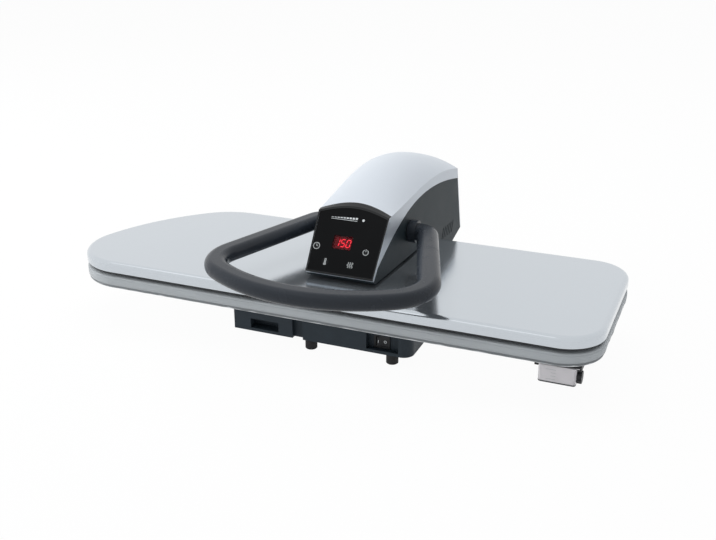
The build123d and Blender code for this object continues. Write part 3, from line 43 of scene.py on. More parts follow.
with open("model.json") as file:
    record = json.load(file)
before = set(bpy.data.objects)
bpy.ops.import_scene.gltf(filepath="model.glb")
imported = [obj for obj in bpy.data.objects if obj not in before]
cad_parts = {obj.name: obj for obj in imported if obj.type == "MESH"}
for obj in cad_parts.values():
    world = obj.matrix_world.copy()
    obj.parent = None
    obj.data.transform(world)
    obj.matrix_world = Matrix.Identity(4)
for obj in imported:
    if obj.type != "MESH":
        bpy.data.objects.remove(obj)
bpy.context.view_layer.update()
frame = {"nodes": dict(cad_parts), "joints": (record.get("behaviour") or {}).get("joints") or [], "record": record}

# The panel leans back: one direction runs along it, one up it and one out of it
KEY_PRESS = next(joint for joint in frame["joints"] if joint["name"] == "start_key_press")
PANEL_OUT = -Vector(KEY_PRESS["axis"])
PANEL_SIDE = Vector((1, 0, 0))
PANEL_UP = PANEL_OUT.cross(PANEL_SIDE)
UP = Vector((0, 0, 1))

# Points nearer to each other than this, in metres, are one point
MERGE = 1e-6

# A Mix node's sockets for colours, by number because several sockets share a name
MIX_SHARE, MIX_FIRST, MIX_SECOND, MIX_RESULT = 0, 6, 7, 2

WHITE = (1.0, 1.0, 1.0, 1.0)

# Each lamp's name, place, aim, size, power in watts, and whether glossy pieces mirror it
LAMPS = (
    ("key_lamp", (-3.0, -0.8, 1.1), (-0.1, 0, 0.1), (3.0, 1.8), 80, False),
    ("top_lamp", (-0.4, 0.7, 2.8), (0, 0, 0.1), (3.4, 2.4), 54, False),
    ("edge_lamp", (-1.1, -1.25, 2.8), (0, 0, 0.1), (3.0, 0.8), 3, True),
)

# The light of the room on the press, and how much of the floor is shown as plain white
ROOM_COLOUR, ROOM_STRENGTH = (0.93, 0.96, 1.0, 1.0), 0.38
FLOOR_RADIUS, FLOOR_WHITE_SHARE = 9.0, 0.96

# The photo's view: angles in degrees, lens and sensor in millimetres
CAMERA_AZIMUTH, CAMERA_ELEVATION = 22.41, 21.86
CAMERA_LENS, CAMERA_SENSOR = 50.28, 36.0
# The camera's place in metres, with its depth counted from the board's middle
CAMERA_ACROSS, CAMERA_DEPTH, CAMERA_HEIGHT = 0.6891, -1.6111, 0.8137

# The cloth's edge roll and hem: each step's way in and its distance below the top or above the
# bottom of the board, in metres
CLOTH_EDGE = (
    (0.0000, 0.0064),
    (0.0012, 0.0059),
    (0.0003, 0.0053),
    (0.0000, 0.0040),
    (0.0004, 0.0027),
    (0.0014, 0.0020),
    (0.0024, 0.0014),
    (0.0044, 0.0006),
    (0.0085, 0.0002),
    (0.0200, 0.0000),
)
CLOTH_HEM = (
    (0.0001, 0.0080),
    (0.0009, 0.0073),
    (0.0002, 0.0064),
    (0.0003, 0.0044),
    (0.0012, 0.0024),
    (0.0028, 0.0010),
    (0.0050, 0.0002),
    (0.0150, 0.0001),
    (0.0260, 0.0001),
)
# The foam pad's upper and lower edges in the same way
PAD_TOP = ((0.0000, 0.0050), (0.0006, 0.0026), (0.0022, 0.0008), (0.0060, 0.0002), (0.0200, 0.0000))
PAD_FOOT = ((0.0000, 0.0030), (0.0008, 0.0010), (0.0030, 0.0000))


class Signal:
    """One output of a tree's nodes: arithmetic on it adds Math nodes."""

    def __init__(self, nodes, socket):
        self.nodes = nodes
        self.socket = socket

    def math(self, operation, *terms):
        return self.nodes.add("ShaderNodeMath", {"operation": operation}, dict(enumerate(terms)))

    def __add__(self, other):
        return self.math("ADD", self, other)

    def __sub__(self, other):
        return self.math("SUBTRACT", self, other)

    def __rsub__(self, other):
        return self.math("SUBTRACT", other, self)

    def __mul__(self, other):
        return self.math("MULTIPLY", self, other)

    __radd__ = __add__
    __rmul__ = __mul__

    def sine(self):
        return self.math("SINE", self)

    def size(self):
        return self.math("ABSOLUTE", self)

    def rise(self, low, high):
        """From 0 below the low value to 1 above the high one, smoothly."""
        return self.nodes.add(
            "ShaderNodeMapRange",
            {"interpolation_type": "SMOOTHSTEP"},
            {"Value": self, "From Min": low, "From Max": high},
        )


class Nodes:
    """A node tree that takes every new node through one method."""

    def __init__(self, tree):
        self.tree = tree

    def add(self, kind, settings=None, inputs=None, output=0):
        """Adds a node: its settings first, then its sockets' values or links."""
        node = self.tree.nodes.new(kind)
        for setting, value in (settings or {}).items():
            setattr(node, setting, value)
        for socket, value in (inputs or {}).items():
            self.put(node.inputs[socket], value)
        return Signal(self, node.outputs[output])

    def put(self, socket, value):
        if isinstance(value, Signal):
            self.tree.links.new(value.socket, socket)
        else:
            socket.default_value = value

    def backdrop_rays(self):
        """1 for the rays that see the backdrop: straight, mirrored or through clear pieces."""
        path = self.add("ShaderNodeLightPath").socket.node.outputs
        rays = Signal(self, path["Is Camera Ray"])
        for kind in ("Is Glossy Ray", "Is Transmission Ray"):
            rays = rays.math("MAXIMUM", rays, Signal(self, path[kind]))
        return rays

    def mix_shaders(self, share, shader, other, output_name):
        """Mixes two shaders by a share and sends them to the tree's output."""
        mixed = self.add("ShaderNodeMixShader", {}, {0: share, 1: shader, 2: other})
        self.put(self.tree.nodes[output_name].inputs["Surface"], mixed)


class Finish(Nodes):
    """A procedural finish: its shader, and the nodes that vary it over a surface."""

    made = {}

    def __init__(self, name, colour, roughness, metallic=0.0, **shader):
        self.material = bpy.data.materials.new(name)
        self.material.use_nodes = True
        super().__init__(self.material.node_tree)
        self.shader = self.tree.nodes["Principled BSDF"]
        self.colour = (*colour, 1.0)
        self.feed("Base Color", self.colour)
        self.feed("Roughness", roughness)
        self.feed("Metallic", metallic)
        for setting, value in shader.items():
            self.feed(setting.replace("_", " ").title().replace("Ior", "IOR"), value)
        self.material.diffuse_color = self.colour
        Finish.made[name] = self

    def feed(self, socket, value):
        self.put(self.shader.inputs[socket], value)

    def place(self, scale=(1.0, 1.0, 1.0)):
        """Object coordinates, in metres, stretched by a scale."""
        spot = self.add("ShaderNodeTexCoord", output="Object")
        return self.add("ShaderNodeMapping", {}, {"Vector": spot, "Scale": scale})

    def along(self):
        """The three object coordinates as separate signals."""
        spot = self.add("ShaderNodeTexCoord", output="Object")
        outputs = self.add("ShaderNodeSeparateXYZ", {}, {"Vector": spot}).socket.node.outputs
        return [Signal(self, outputs[axis]) for axis in ("X", "Y", "Z")]

    def below(self, height, blend=0.0003):
        """1 below a height and 0 above it, with a narrow blend between, in metres."""
        return 1 - self.along()[2].rise(height - blend, height + blend)

    def grain(self, scale, detail=2.0, stretch=(1.0, 1.0, 1.0)):
        """Soft noise from 0 to 1, with its scale in cells a metre."""
        return self.add(
            "ShaderNodeTexNoise",
            {},
            {"Vector": self.place(stretch), "Scale": scale, "Detail": detail},
            "Fac",
        )

    def cells(self, scale):
        """Distance from the middle of the nearest cell, with the scale in cells a metre."""
        return self.add(
            "ShaderNodeTexVoronoi", {}, {"Vector": self.place(), "Scale": scale}, "Distance"
        )

    def blend(self, share, colour, other):
        """Mixes two colours by a share and gives them to the shader."""
        mixed = self.add(
            "ShaderNodeMix",
            {"data_type": "RGBA"},
            {MIX_SHARE: share, MIX_FIRST: colour, MIX_SECOND: (*other, 1.0)},
            MIX_RESULT,
        )
        self.feed("Base Color", mixed)
        return mixed

    def tint(self, share, other):
        """Mixes another colour over the finish's own by a share."""
        return self.blend(share, self.colour, other)

    def relief(self, height, depth):
        """Bumps the surface by a height from 0 to 1 and a depth in metres."""
        self.feed("Normal", self.add("ShaderNodeBump", {}, {"Height": height, "Distance": depth}))


def shade(colour, factor, lift=0.0):
    """A darker or lighter version of a colour, lifted a little towards white."""
    return tuple(part * factor + lift for part in colour)


def painted_metal(name, colour, roughness, metallic):
    """Satin metallic paint: fine flakes, a little orange peel and soft cloudiness in the gloss."""
    finish = Finish(name, colour, roughness, metallic, coat_roughness=0.2)
    flakes = finish.grain(5200, 1.0)
    clouds = finish.grain(9, 3.0)
    finish.tint((flakes - 0.5).size() * 0.8 + clouds * 0.12, shade(colour, 0.86))
    finish.feed("Roughness", roughness - 0.05 + clouds * 0.1)
    finish.feed("Coat Weight", 0.05 + clouds * 0.05)
    finish.relief(finish.grain(240, 1.0) * 0.6 + flakes * 0.4, 0.00004)


def framed_metal(name, silver, dark, sill_height):
    """The panel's frame: silver on its flanks and sill; the rest of its front is painted dark, a painted dark
    reflection on a rim that is silver all round.
    """
    finish = Finish(name, dark, 0.34, specular_ior_level=0.3)
    normal = finish.add("ShaderNodeTexCoord", output="Normal")
    across = finish.add("ShaderNodeSeparateXYZ", {}, {"Vector": normal}, "X")
    flank = across.size().rise(0.5, 0.8)
    share = flank.math("MAXIMUM", flank, finish.below(sill_height))
    # Outside the silver share the frame's front takes the dark colour as painted shade.
    finish.tint(share, silver)
    finish.feed("Metallic", share * 0.45)
    finish.relief(finish.grain(240, 1.0), 0.00003)


def moulded_plastic(name, colour, roughness, specular):
    """Spark-textured moulding: fine pits, lighter rubbed patches and even satin sheen."""
    finish = Finish(name, colour, roughness, specular_ior_level=specular)
    pits = finish.cells(2400)
    rub = finish.grain(26, 4.0)
    finish.tint(rub.rise(0.5, 0.78) * 0.4, shade(colour, 1.35, 0.004))
    finish.feed("Roughness", roughness - 0.06 + rub * 0.12)
    finish.relief(pits.rise(0.0, 0.7), 0.00007)


def gloss_plastic(name, colour, roughness, specular):
    """Smooth polished moulding with faint finger marks and hairlines in the gloss."""
    finish = Finish(name, colour, roughness, specular_ior_level=specular)
    marks = finish.grain(34, 5.0)
    hair = finish.grain(70, 2.0, (1.0, 14.0, 1.0))
    finish.feed("Roughness", roughness + marks.rise(0.45, 0.75) * 0.1 + hair * 0.04)
    finish.tint(marks * 0.25, shade(colour, 1.3, 0.003))
    finish.relief(marks * 0.5 + hair * 0.5, 0.00001)


def brushed_metal(name, colour, roughness, stretch, depth=0.00002):
    """Bare metal with fine lines along one direction and a duller bloom in places."""
    finish = Finish(name, colour, roughness, 1.0)
    lines = finish.grain(420, 3.0, stretch)
    bloom = finish.grain(22, 4.0)
    finish.tint(bloom.rise(0.45, 0.8) * 0.5, shade(colour, 0.72))
    finish.feed("Roughness", roughness - 0.08 + lines * 0.14 + bloom * 0.08)
    finish.relief(lines, depth)


def rubber_finish(name, colour):
    """Dull rubber with a dusty bloom and fine pores."""
    finish = Finish(name, colour, 0.8)
    dust = finish.grain(60, 5.0)
    finish.tint(dust.rise(0.45, 0.8) * 0.5, shade(colour, 1.8, 0.01))
    finish.feed("Roughness", 0.7 + dust * 0.2)
    finish.relief(finish.cells(1800), 0.00005)


def woven_cloth(name, colour, hem_colour, hem_height):
    """Silver-coated woven cloth: crossing threads, soft scuffs, and darker, duller and less metallic below the hem
    height.
    """
    finish = Finish(name, colour, 0.52, 0.35, sheen_weight=0.15, sheen_roughness=0.4)
    x, y, z = finish.along()
    thread_pitch = 0.0011
    turns = math.tau / thread_pitch
    threads = ((x + y) * turns).sine() * ((x - y + z * 1.7) * turns).sine()
    scuffs = finish.grain(14, 5.0, (1.0, 1.0, 4.0))
    hem_band = finish.below(hem_height, 0.0004)
    shaded = finish.tint(scuffs * 0.3 + threads * 0.08 + 0.05, shade(colour, 0.7))
    finish.blend(hem_band, shaded, hem_colour)
    finish.feed("Metallic", 0.35 * (1 - hem_band))
    finish.feed("Roughness", 0.44 + scuffs * 0.16 + hem_band * 0.2)
    finish.relief(threads * 0.5 + 0.5 + scuffs * 0.8, 0.00012)


def soft_fill(name, colour, scale, depth):
    """Open foam or mineral wool: cells of two sizes and uneven shade."""
    finish = Finish(name, colour, 0.92, sheen_weight=0.3)
    wide = finish.cells(scale)
    fine = finish.cells(scale * 3.1)
    finish.tint(wide.rise(0.1, 0.7) * 0.6, shade(colour, 0.68))
    finish.relief(wide * 0.7 + fine * 0.3, depth)


def circuit_lacquer(name):
    """Green lacquered board with copper tracks and pads on a grid."""
    finish = Finish(name, (0.008, 0.075, 0.03), 0.3, coat_weight=0.3)
    x, y, z = finish.along()
    track_pitch = 0.0052
    turns = math.tau / track_pitch
    tracks = ((x + z) * turns).sine().rise(0.82, 0.9)
    pads = ((x * turns).sine() * ((y + z) * turns).sine()).rise(0.86, 0.92)
    copper = tracks * 0.5 + pads * 0.9
    share = copper.math("MINIMUM", copper, 1.0)
    finish.tint(share, (0.32, 0.2, 0.06))
    finish.feed("Metallic", share * 0.7)
    finish.relief(share, 0.00004)


def lit_display(name):
    """Dark red display face that glows a little, in uneven patches."""
    finish = Finish(name, (0.12, 0.004, 0.008), 0.35, emission_strength=0.5)
    glow = finish.grain(120, 2.0)
    mixed = finish.tint(glow.rise(0.3, 0.7) * 0.5, (0.2, 0.008, 0.014))
    finish.feed("Emission Color", mixed)


def tinted_window(name):
    """Red tinted clear window with faint wipe marks."""
    finish = Finish(name, (0.1, 0.002, 0.005), 0.06, specular_ior_level=0.2)
    marks = finish.grain(180, 4.0, (1.0, 3.0, 1.0))
    finish.feed("Alpha", 0.3 + marks * 0.08)
    finish.feed("Roughness", 0.04 + marks * 0.08)


def milky_moulding(name, colour, alpha, shade_foot_height):
    """Milky moulding: flow lines, edges that read denser, and painted shadow: darker and denser below a height at
    the foot.
    """
    finish = Finish(name, colour, 0.16, coat_weight=0.35)
    flow = finish.grain(46, 4.0, (1.0, 0.4, 2.2))
    rim = finish.add("ShaderNodeLayerWeight", {}, {"Blend": 0.35}, "Facing")
    # Painted shadow: the foot is darkened and made denser below the height, where shadow falls.
    foot_shade = finish.below(shade_foot_height)
    finish.tint(foot_shade, (0.03, 0.034, 0.04))
    finish.feed("Alpha", alpha - 0.08 + flow * 0.14 + rim * 0.3 + foot_shade * 0.6)
    finish.feed("Roughness", 0.1 + flow * 0.16)
    finish.relief(flow, 0.0001)


def printed_mark(name, colour, glow):
    """Printed or lit marking ink with a slightly uneven density; on printed marks the glow is painted light, as
    nothing lights them.
    """
    finish = Finish(name, colour, 0.45, emission_strength=glow)
    dots = finish.grain(2600, 2.0)
    mixed = finish.tint(dots.rise(0.55, 0.8) * 0.5, shade(colour, 0.75))
    finish.feed("Emission Color", mixed)


# Which finish each material slot of the record takes
SLOT_FINISHES = {
    "base_grey": "base_moulding",
    "foot_rubber": "foot_rubber",
    "zinc_steel": "zinc_sheet",
    "pump_black": "black_moulding",
    "circuit_green": "circuit_lacquer",
    "black_plastic": "black_moulding",
    "foam": "pad_foam",
    "silver_fabric": "silver_cloth",
    "tube_silicone": "silicone_tube",
    "bright_steel": "bright_steel",
    "spring_steel": "spring_steel",
    "clear_tank": "clear_tank",
    "silver_paint": "arm_paint",
    "dark_cover": "side_moulding",
    "silver_rim": "rim_paint",
    "panel_gloss": "panel_gloss",
    "red_window": "red_window",
    "display_red": "display_face",
    "key_gloss": "key_gloss",
    "bronze": "bush_bronze",
    "handle_grey": "handle_gloss",
    "silver_head": "head_paint",
    "plate_aluminium": "plate_aluminium",
    "cast_aluminium": "cast_aluminium",
    "blanket_wool": "mineral_wool",
    "gasket_rubber": "gasket_rubber",
}


def close_form(bm, name, body, slot, finish_name=None, crease=35):
    """Turns a built form into a piece, smooth except at its creases, on its body and finished."""
    bmesh.ops.remove_doubles(bm, verts=bm.verts, dist=MERGE)
    bmesh.ops.recalc_face_normals(bm, faces=bm.faces)
    limit = math.radians(crease)
    for face in bm.faces:
        face.smooth = True
    for edge in bm.edges:
        edge.smooth = edge.calc_face_angle(math.pi) < limit
    mesh = bpy.data.meshes.new(name)
    bm.to_mesh(mesh)
    bm.free()
    mesh.materials.append(Finish.made[finish_name or SLOT_FINISHES[slot]].material)
    piece = bpy.data.objects.new(name, mesh)
    bpy.context.scene.collection.objects.link(piece)
    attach(piece, body)
    return piece


def section_loop(node, height, spacing):
    """The outline of a node at one height as a closed loop of edges with even points."""
    bm = bmesh.new()
    bm.from_mesh(frame["nodes"][node].data)
    bmesh.ops.remove_doubles(bm, verts=bm.verts, dist=MERGE)
    bmesh.ops.bisect_plane(
        bm,
        geom=[*bm.verts, *bm.edges, *bm.faces],
        dist=MERGE,
        plane_co=(0, 0, height),
        plane_no=UP,
        clear_inner=True,
        clear_outer=True,
    )
    widest = max(bm.verts, key=lambda vert: vert.co.x)
    kept = {widest}
    edge_front = [widest]
    while edge_front:
        vert = edge_front.pop()
        for edge in vert.link_edges:
            other = edge.other_vert(vert)
            if other not in kept:
                kept.add(other)
                edge_front.append(other)
    bmesh.ops.delete(bm, geom=[vert for vert in bm.verts if vert not in kept], context="VERTS")
    bmesh.ops.remove_doubles(bm, verts=bm.verts, dist=spacing / 3)
    for edge in list(bm.edges):
        cuts = int(edge.calc_length() / spacing)
        if cuts:
            bmesh.ops.subdivide_edges(bm, edges=[edge], cuts=cuts)
    return bm


def outline_face(node, height, spacing):
    """A flat face that fills a node's outline at one height and looks up."""
    bm = section_loop(node, height, spacing)
    face = bmesh.ops.contextual_create(bm, geom=list(bm.edges))["faces"][0]
    bm.normal_update()
    if face.normal.z < 0:
        face.normal_flip()
    return bm, face


def step_rings(bm, face, start, profile):
    """Insets a face ring by ring: each profile step is the way in and the height, in metres."""
    inward, height = start
    upwards = 1 if face.normal.z > 0 else -1
    for next_inward, next_height in profile:
        bmesh.ops.inset_region(
            bm,
            faces=[face],
            thickness=abs(next_inward - inward),
            depth=(next_height - height) * upwards,
            use_boundary=True,
            use_even_offset=True,
            use_outset=next_inward < inward,
        )
        inward, height = next_inward, next_height


def crowned_slab(node, middle, top, bottom, spacing, open_below=False):
    """A closed cushion on a node's outline, stepped up to its top and down to its underside."""
    bm, upper = outline_face(node, middle, spacing)
    copy = bmesh.ops.duplicate(bm, geom=[*upper.verts, *upper.edges, upper])["geom"]
    lower = next(part for part in copy if isinstance(part, bmesh.types.BMFace))
    lower.normal_flip()
    bm.normal_update()
    step_rings(bm, upper, (0, middle), top)
    step_rings(bm, lower, (0, middle), bottom)
    if open_below:
        bmesh.ops.delete(bm, geom=[lower], context="FACES_ONLY")
    bmesh.ops.remove_doubles(bm, verts=bm.verts, dist=MERGE)
    bmesh.ops.recalc_face_normals(bm, faces=bm.faces)
    return bm


def ruffle(bm, pitch, depth, low, high):
    """Draws the sides in and out in shallow gathers between two heights."""
    bm.normal_update()
    for vert in bm.verts:
        share = min(max((high - vert.co.z) / (high - low), 0), 1)
        wave = noise.noise(Vector((vert.co.x, vert.co.y, vert.co.z * 0.35)) / pitch)
        sideways = Vector((vert.normal.x, vert.normal.y, 0))
        vert.co += sideways * (wave - 0.45) * depth * share


def spot_on(node, near):
    """Where a node's surface is nearest to a point, as a matrix with Z out of the surface."""
    found, point, normal, _ = frame["nodes"][node].closest_point_on_mesh(Vector(near))
    if not found:
        raise RuntimeError(f"no surface of {node} near {near}")
    return Matrix.Translation(point) @ normal.to_track_quat("Z", "Y").to_matrix().to_4x4()


def panel_spot(node):
    """The middle of a node's outer face on the sloping panel, with X along it and Z out of it."""
    points = [vert.co for vert in frame["nodes"][node].data.vertices]
    middle = Vector()
    for direction in (PANEL_SIDE, PANEL_UP):
        reach = [point.dot(direction) for point in points]
        middle += direction * (min(reach) + max(reach)) / 2
    middle += PANEL_OUT * max(point.dot(PANEL_OUT) for point in points)
    turn = Matrix((PANEL_SIDE, PANEL_UP, PANEL_OUT)).transposed().to_4x4()
    return Matrix.Translation(middle) @ turn


def flat_bar(bm, centre, size, lean=0.0):
    """A flat stroke: a rectangle at a centre, leaned sideways."""
    shear = Matrix(((1, lean, 0, 0), (0, 1, 0, 0), (0, 0, 1, 0), (0, 0, 0, 1)))
    place = Matrix.Translation((*centre, 0)) @ Matrix.Diagonal((*size, 1, 1))
    bmesh.ops.create_grid(bm, x_segments=1, y_segments=1, size=0.5, matrix=shear @ place)


def flat_arc(bm, centre, radius, width, start, sweep, steps=28):
    """A flat curved stroke: a short edge spun round a centre."""
    x, y = centre
    ends = [
        bm.verts.new((x + reach * math.cos(start), y + reach * math.sin(start), 0))
        for reach in (radius - width / 2, radius + width / 2)
    ]
    edge = bm.edges.new(ends)
    bmesh.ops.spin(
        bm,
        geom=[*ends, edge],
        cent=(*centre, 0),
        axis=UP,
        angle=sweep,
        steps=steps,
        use_merge=abs(sweep) >= math.tau,
    )


def flat_disc(bm, centre, radius):
    """A flat round dot."""
    place = Matrix.Translation((*centre, 0))
    bmesh.ops.create_circle(bm, cap_ends=True, segments=24, radius=radius, matrix=place)


def raise_marks(bm, height, place):
    """Gives flat strokes their thickness and puts them in place."""
    bmesh.ops.recalc_face_normals(bm, faces=bm.faces)
    base = list(bm.faces)
    raised = bmesh.ops.extrude_face_region(bm, geom=base, use_keep_orig=True)["geom"]
    verts = [part for part in raised if isinstance(part, bmesh.types.BMVert)]
    bmesh.ops.translate(bm, verts=verts, vec=(0, 0, height))
    bmesh.ops.transform(bm, matrix=place, verts=bm.verts)


def clock_symbol(bm, size, stroke):
    flat_arc(bm, (0, 0), size / 2, stroke, 0, math.tau, 40)
    flat_bar(bm, (0, size * 0.15), (stroke, size * 0.34))
    flat_bar(bm, (size * 0.1, 0), (size * 0.24, stroke))


def thermometer_symbol(bm, size, stroke):
    flat_arc(bm, (0, -size * 0.32), size * 0.17, stroke, math.radians(125), math.radians(290))
    flat_disc(bm, (0, -size * 0.32), size * 0.09)
    flat_bar(bm, (-size * 0.1, size * 0.12), (stroke, size * 0.56))
    flat_bar(bm, (size * 0.1, size * 0.12), (stroke, size * 0.56))
    flat_arc(bm, (0, size * 0.4), size * 0.1, stroke, 0, math.pi, 14)
    flat_bar(bm, (0, 0), (stroke, size * 0.44))


def steam_symbol(bm, size, stroke):
    for across in (-0.32, 0.0, 0.32):
        for rise, start in ((-0.27, -0.5), (0.0, 0.5), (0.27, -0.5)):
            flat_arc(
                bm,
                (size * (across + (0.03 if start > 0 else -0.03)), size * rise),
                size * 0.135,
                stroke,
                start * math.pi,
                math.pi,
                12,
            )


def start_symbol(bm, size, stroke):
    flat_arc(bm, (0, 0), size * 0.42, stroke, math.radians(120), math.radians(300), 36)
    flat_bar(bm, (0, size * 0.3), (stroke, size * 0.42))


KEY_SYMBOLS = {
    "time_key": clock_symbol,
    "temperature_key": thermometer_symbol,
    "steam_key": steam_symbol,
    "start_key": start_symbol,
}

# The lit bars of each digit: top, upper left, upper right, middle, lower left, lower right, bottom
DIGIT_BARS = {"0": "1110111", "1": "0010010", "5": "1101011"}


class PressSizes(bpy.types.PropertyGroup):
    """Sizes of the pieces that dress the press"""

    cloth_thickness: bpy.props.FloatProperty(
        name="Cloth thickness",
        description="Thickness of the board's cover cloth",
        default=0.0008,
        unit="LENGTH",
    )
    gather_pitch: bpy.props.FloatProperty(
        name="Gather pitch",
        description="Distance between the gathers along the cover's hem",
        default=0.016,
        unit="LENGTH",
    )
    gather_depth: bpy.props.FloatProperty(
        name="Gather depth",
        description="How far the gathers draw the cloth in",
        default=0.0016,
        unit="LENGTH",
    )
    # The depth of the black bead that stands as painted shade under the head's lip.
    shade_bead_depth: bpy.props.FloatProperty(
        name="Shade bead depth",
        description="How far the black bead hangs below the head's lip",
        default=0.0028,
        unit="LENGTH",
    )
    blanket_edge: bpy.props.FloatProperty(
        name="Blanket edge",
        description="Radius of the insulation blanket's rounded rim",
        default=0.0014,
        unit="LENGTH",
    )
    symbol_size: bpy.props.FloatProperty(
        name="Symbol size",
        description="Height of the symbols printed on the keys",
        default=0.0118,
        unit="LENGTH",
    )
    symbol_stroke: bpy.props.FloatProperty(
        name="Symbol stroke",
        description="Width of the symbols' strokes",
        default=0.0014,
        unit="LENGTH",
    )
    print_height: bpy.props.FloatProperty(
        name="Print height",
        description="How far printed marks stand proud",
        default=0.00008,
        unit="LENGTH",
    )
    digit_height: bpy.props.FloatProperty(
        name="Digit height",
        description="Height of the display's digits",
        default=0.0135,
        unit="LENGTH",
    )
    screw_radius: bpy.props.FloatProperty(
        name="Screw head radius",
        description="Radius of the cross-recessed heads under the covers",
        default=0.0036,
        unit="LENGTH",
    )
    # Thickness of the black sheets that stand as painted shade behind the air slots.
    shade_sheet_thickness: bpy.props.FloatProperty(
        name="Shade sheet thickness",
        description="Thickness of the screens behind the air slots",
        default=0.0006,
        unit="LENGTH",
    )


class PressColours(bpy.types.PropertyGroup):
    """Colours of the press's main finishes"""

    arm_silver: bpy.props.FloatVectorProperty(
        name="Arm silver",
        description="Satin paint of the arm's top cover",
        default=(0.63, 0.675, 0.73),
        subtype="COLOR",
    )
    head_silver: bpy.props.FloatVectorProperty(
        name="Head silver",
        description="Satin paint of the pressing head's cover",
        default=(0.58, 0.62, 0.66),
        subtype="COLOR",
    )
    side_grey: bpy.props.FloatVectorProperty(
        name="Side grey",
        description="Moulded side covers",
        default=(0.018, 0.028, 0.034),
        subtype="COLOR",
    )
    handle_grey: bpy.props.FloatVectorProperty(
        name="Handle grey",
        description="Hoop handle",
        default=(0.026, 0.031, 0.039),
        subtype="COLOR",
    )
    base_grey: bpy.props.FloatVectorProperty(
        name="Base grey",
        description="Moulded base",
        default=(0.024, 0.034, 0.044),
        subtype="COLOR",
    )
    cloth_silver: bpy.props.FloatVectorProperty(
        name="Cloth silver",
        description="Board cover cloth",
        default=(0.46, 0.49, 0.51),
        subtype="COLOR",
    )
    display_red: bpy.props.FloatVectorProperty(
        name="Display red",
        description="Lit digits",
        default=(0.85, 0.03, 0.05),
        subtype="COLOR",
    )


class PRESS_OT_finishes(bpy.types.Operator):
    """Make the procedural finishes and put them on the press's own parts"""

    bl_idname = "press.finishes"
    bl_label = "Finishes"

    def execute(self, context):
        colours = context.scene.press_colours
        cloth_low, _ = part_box("board_cover")
        rim_low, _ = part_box("panel_rim")
        tank_low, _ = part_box("water_tank")
        painted_metal("arm_paint", colours.arm_silver, roughness=0.42, metallic=0.35)
        painted_metal("head_paint", colours.head_silver, roughness=0.13, metallic=0.85)
        # Painted shade: the dark colour the frame's front takes in place of its dark reflection.
        rim_front_shade = (0.008, 0.009, 0.01)
        framed_metal("rim_paint", colours.arm_silver, rim_front_shade, sill_height=rim_low.z + 0.0026)
        moulded_plastic("side_moulding", colours.side_grey, roughness=0.5, specular=0.2)
        moulded_plastic("base_moulding", colours.base_grey, roughness=0.52, specular=0.24)
        moulded_plastic("black_moulding", (0.012, 0.013, 0.015), roughness=0.42, specular=0.3)
        gloss_plastic("handle_gloss", colours.handle_grey, roughness=0.2, specular=0.18)
        gloss_plastic("panel_gloss", (0.003, 0.0034, 0.004), roughness=0.16, specular=0.08)
        gloss_plastic("key_gloss", (0.007, 0.0076, 0.0085), roughness=0.24, specular=0.12)
        brushed_metal("zinc_sheet", (0.6, 0.62, 0.64), 0.36, stretch=(1.0, 0.2, 1.0))
        brushed_metal(
            "bright_steel", (0.72, 0.73, 0.75), 0.2, stretch=(12.0, 1.0, 1.0), depth=0.000008
        )
        brushed_metal("spring_steel", (0.28, 0.29, 0.31), 0.34, stretch=(1.0, 1.0, 1.0))
        brushed_metal("bush_bronze", (0.6, 0.4, 0.18), 0.38, stretch=(6.0, 1.0, 1.0))
        brushed_metal("plate_aluminium", (0.7, 0.71, 0.72), 0.28, stretch=(0.06, 1.0, 1.0))
        brushed_metal(
            "cast_aluminium", (0.55, 0.56, 0.57), 0.5, stretch=(0.4, 0.4, 0.4), depth=0.00006
        )
        rubber_finish("foot_rubber", (0.012, 0.012, 0.013))
        rubber_finish("gasket_rubber", (0.016, 0.016, 0.018))
        rubber_finish("silicone_tube", (0.55, 0.56, 0.56))
        # The colour the cloth takes below the hem height, darker than the rest.
        hem_band = (0.2, 0.215, 0.225)
        woven_cloth("silver_cloth", colours.cloth_silver, hem_band, hem_height=cloth_low.z + 0.0072)
        soft_fill("pad_foam", (0.7, 0.66, 0.52), scale=700, depth=0.0004)
        soft_fill("mineral_wool", (0.66, 0.63, 0.56), scale=330, depth=0.0006)
        circuit_lacquer("circuit_lacquer")
        lit_display("display_face")
        tinted_window("red_window")
        milk = (0.95, 0.92, 0.94)
        # The tank is painted darker below this height as painted shadow at its foot.
        milky_moulding("clear_tank", milk, alpha=0.68, shade_foot_height=tank_low.z + 0.0035)
        # The printed inks glow a little though no lamp is behind them: painted light.
        printed_mark("grey_print", (0.34, 0.36, 0.36), glow=0.2)
        printed_mark("light_print", (0.6, 0.63, 0.64), glow=0.15)
        printed_mark("lit_digit", colours.display_red, glow=3.0)
        for row in frame["record"]["subparts"]:
            materials = frame["nodes"][row["node"]].data.materials
            materials.clear()
            materials.append(Finish.made[SLOT_FINISHES[row["material_slot"]]].material)
        return {"FINISHED"}


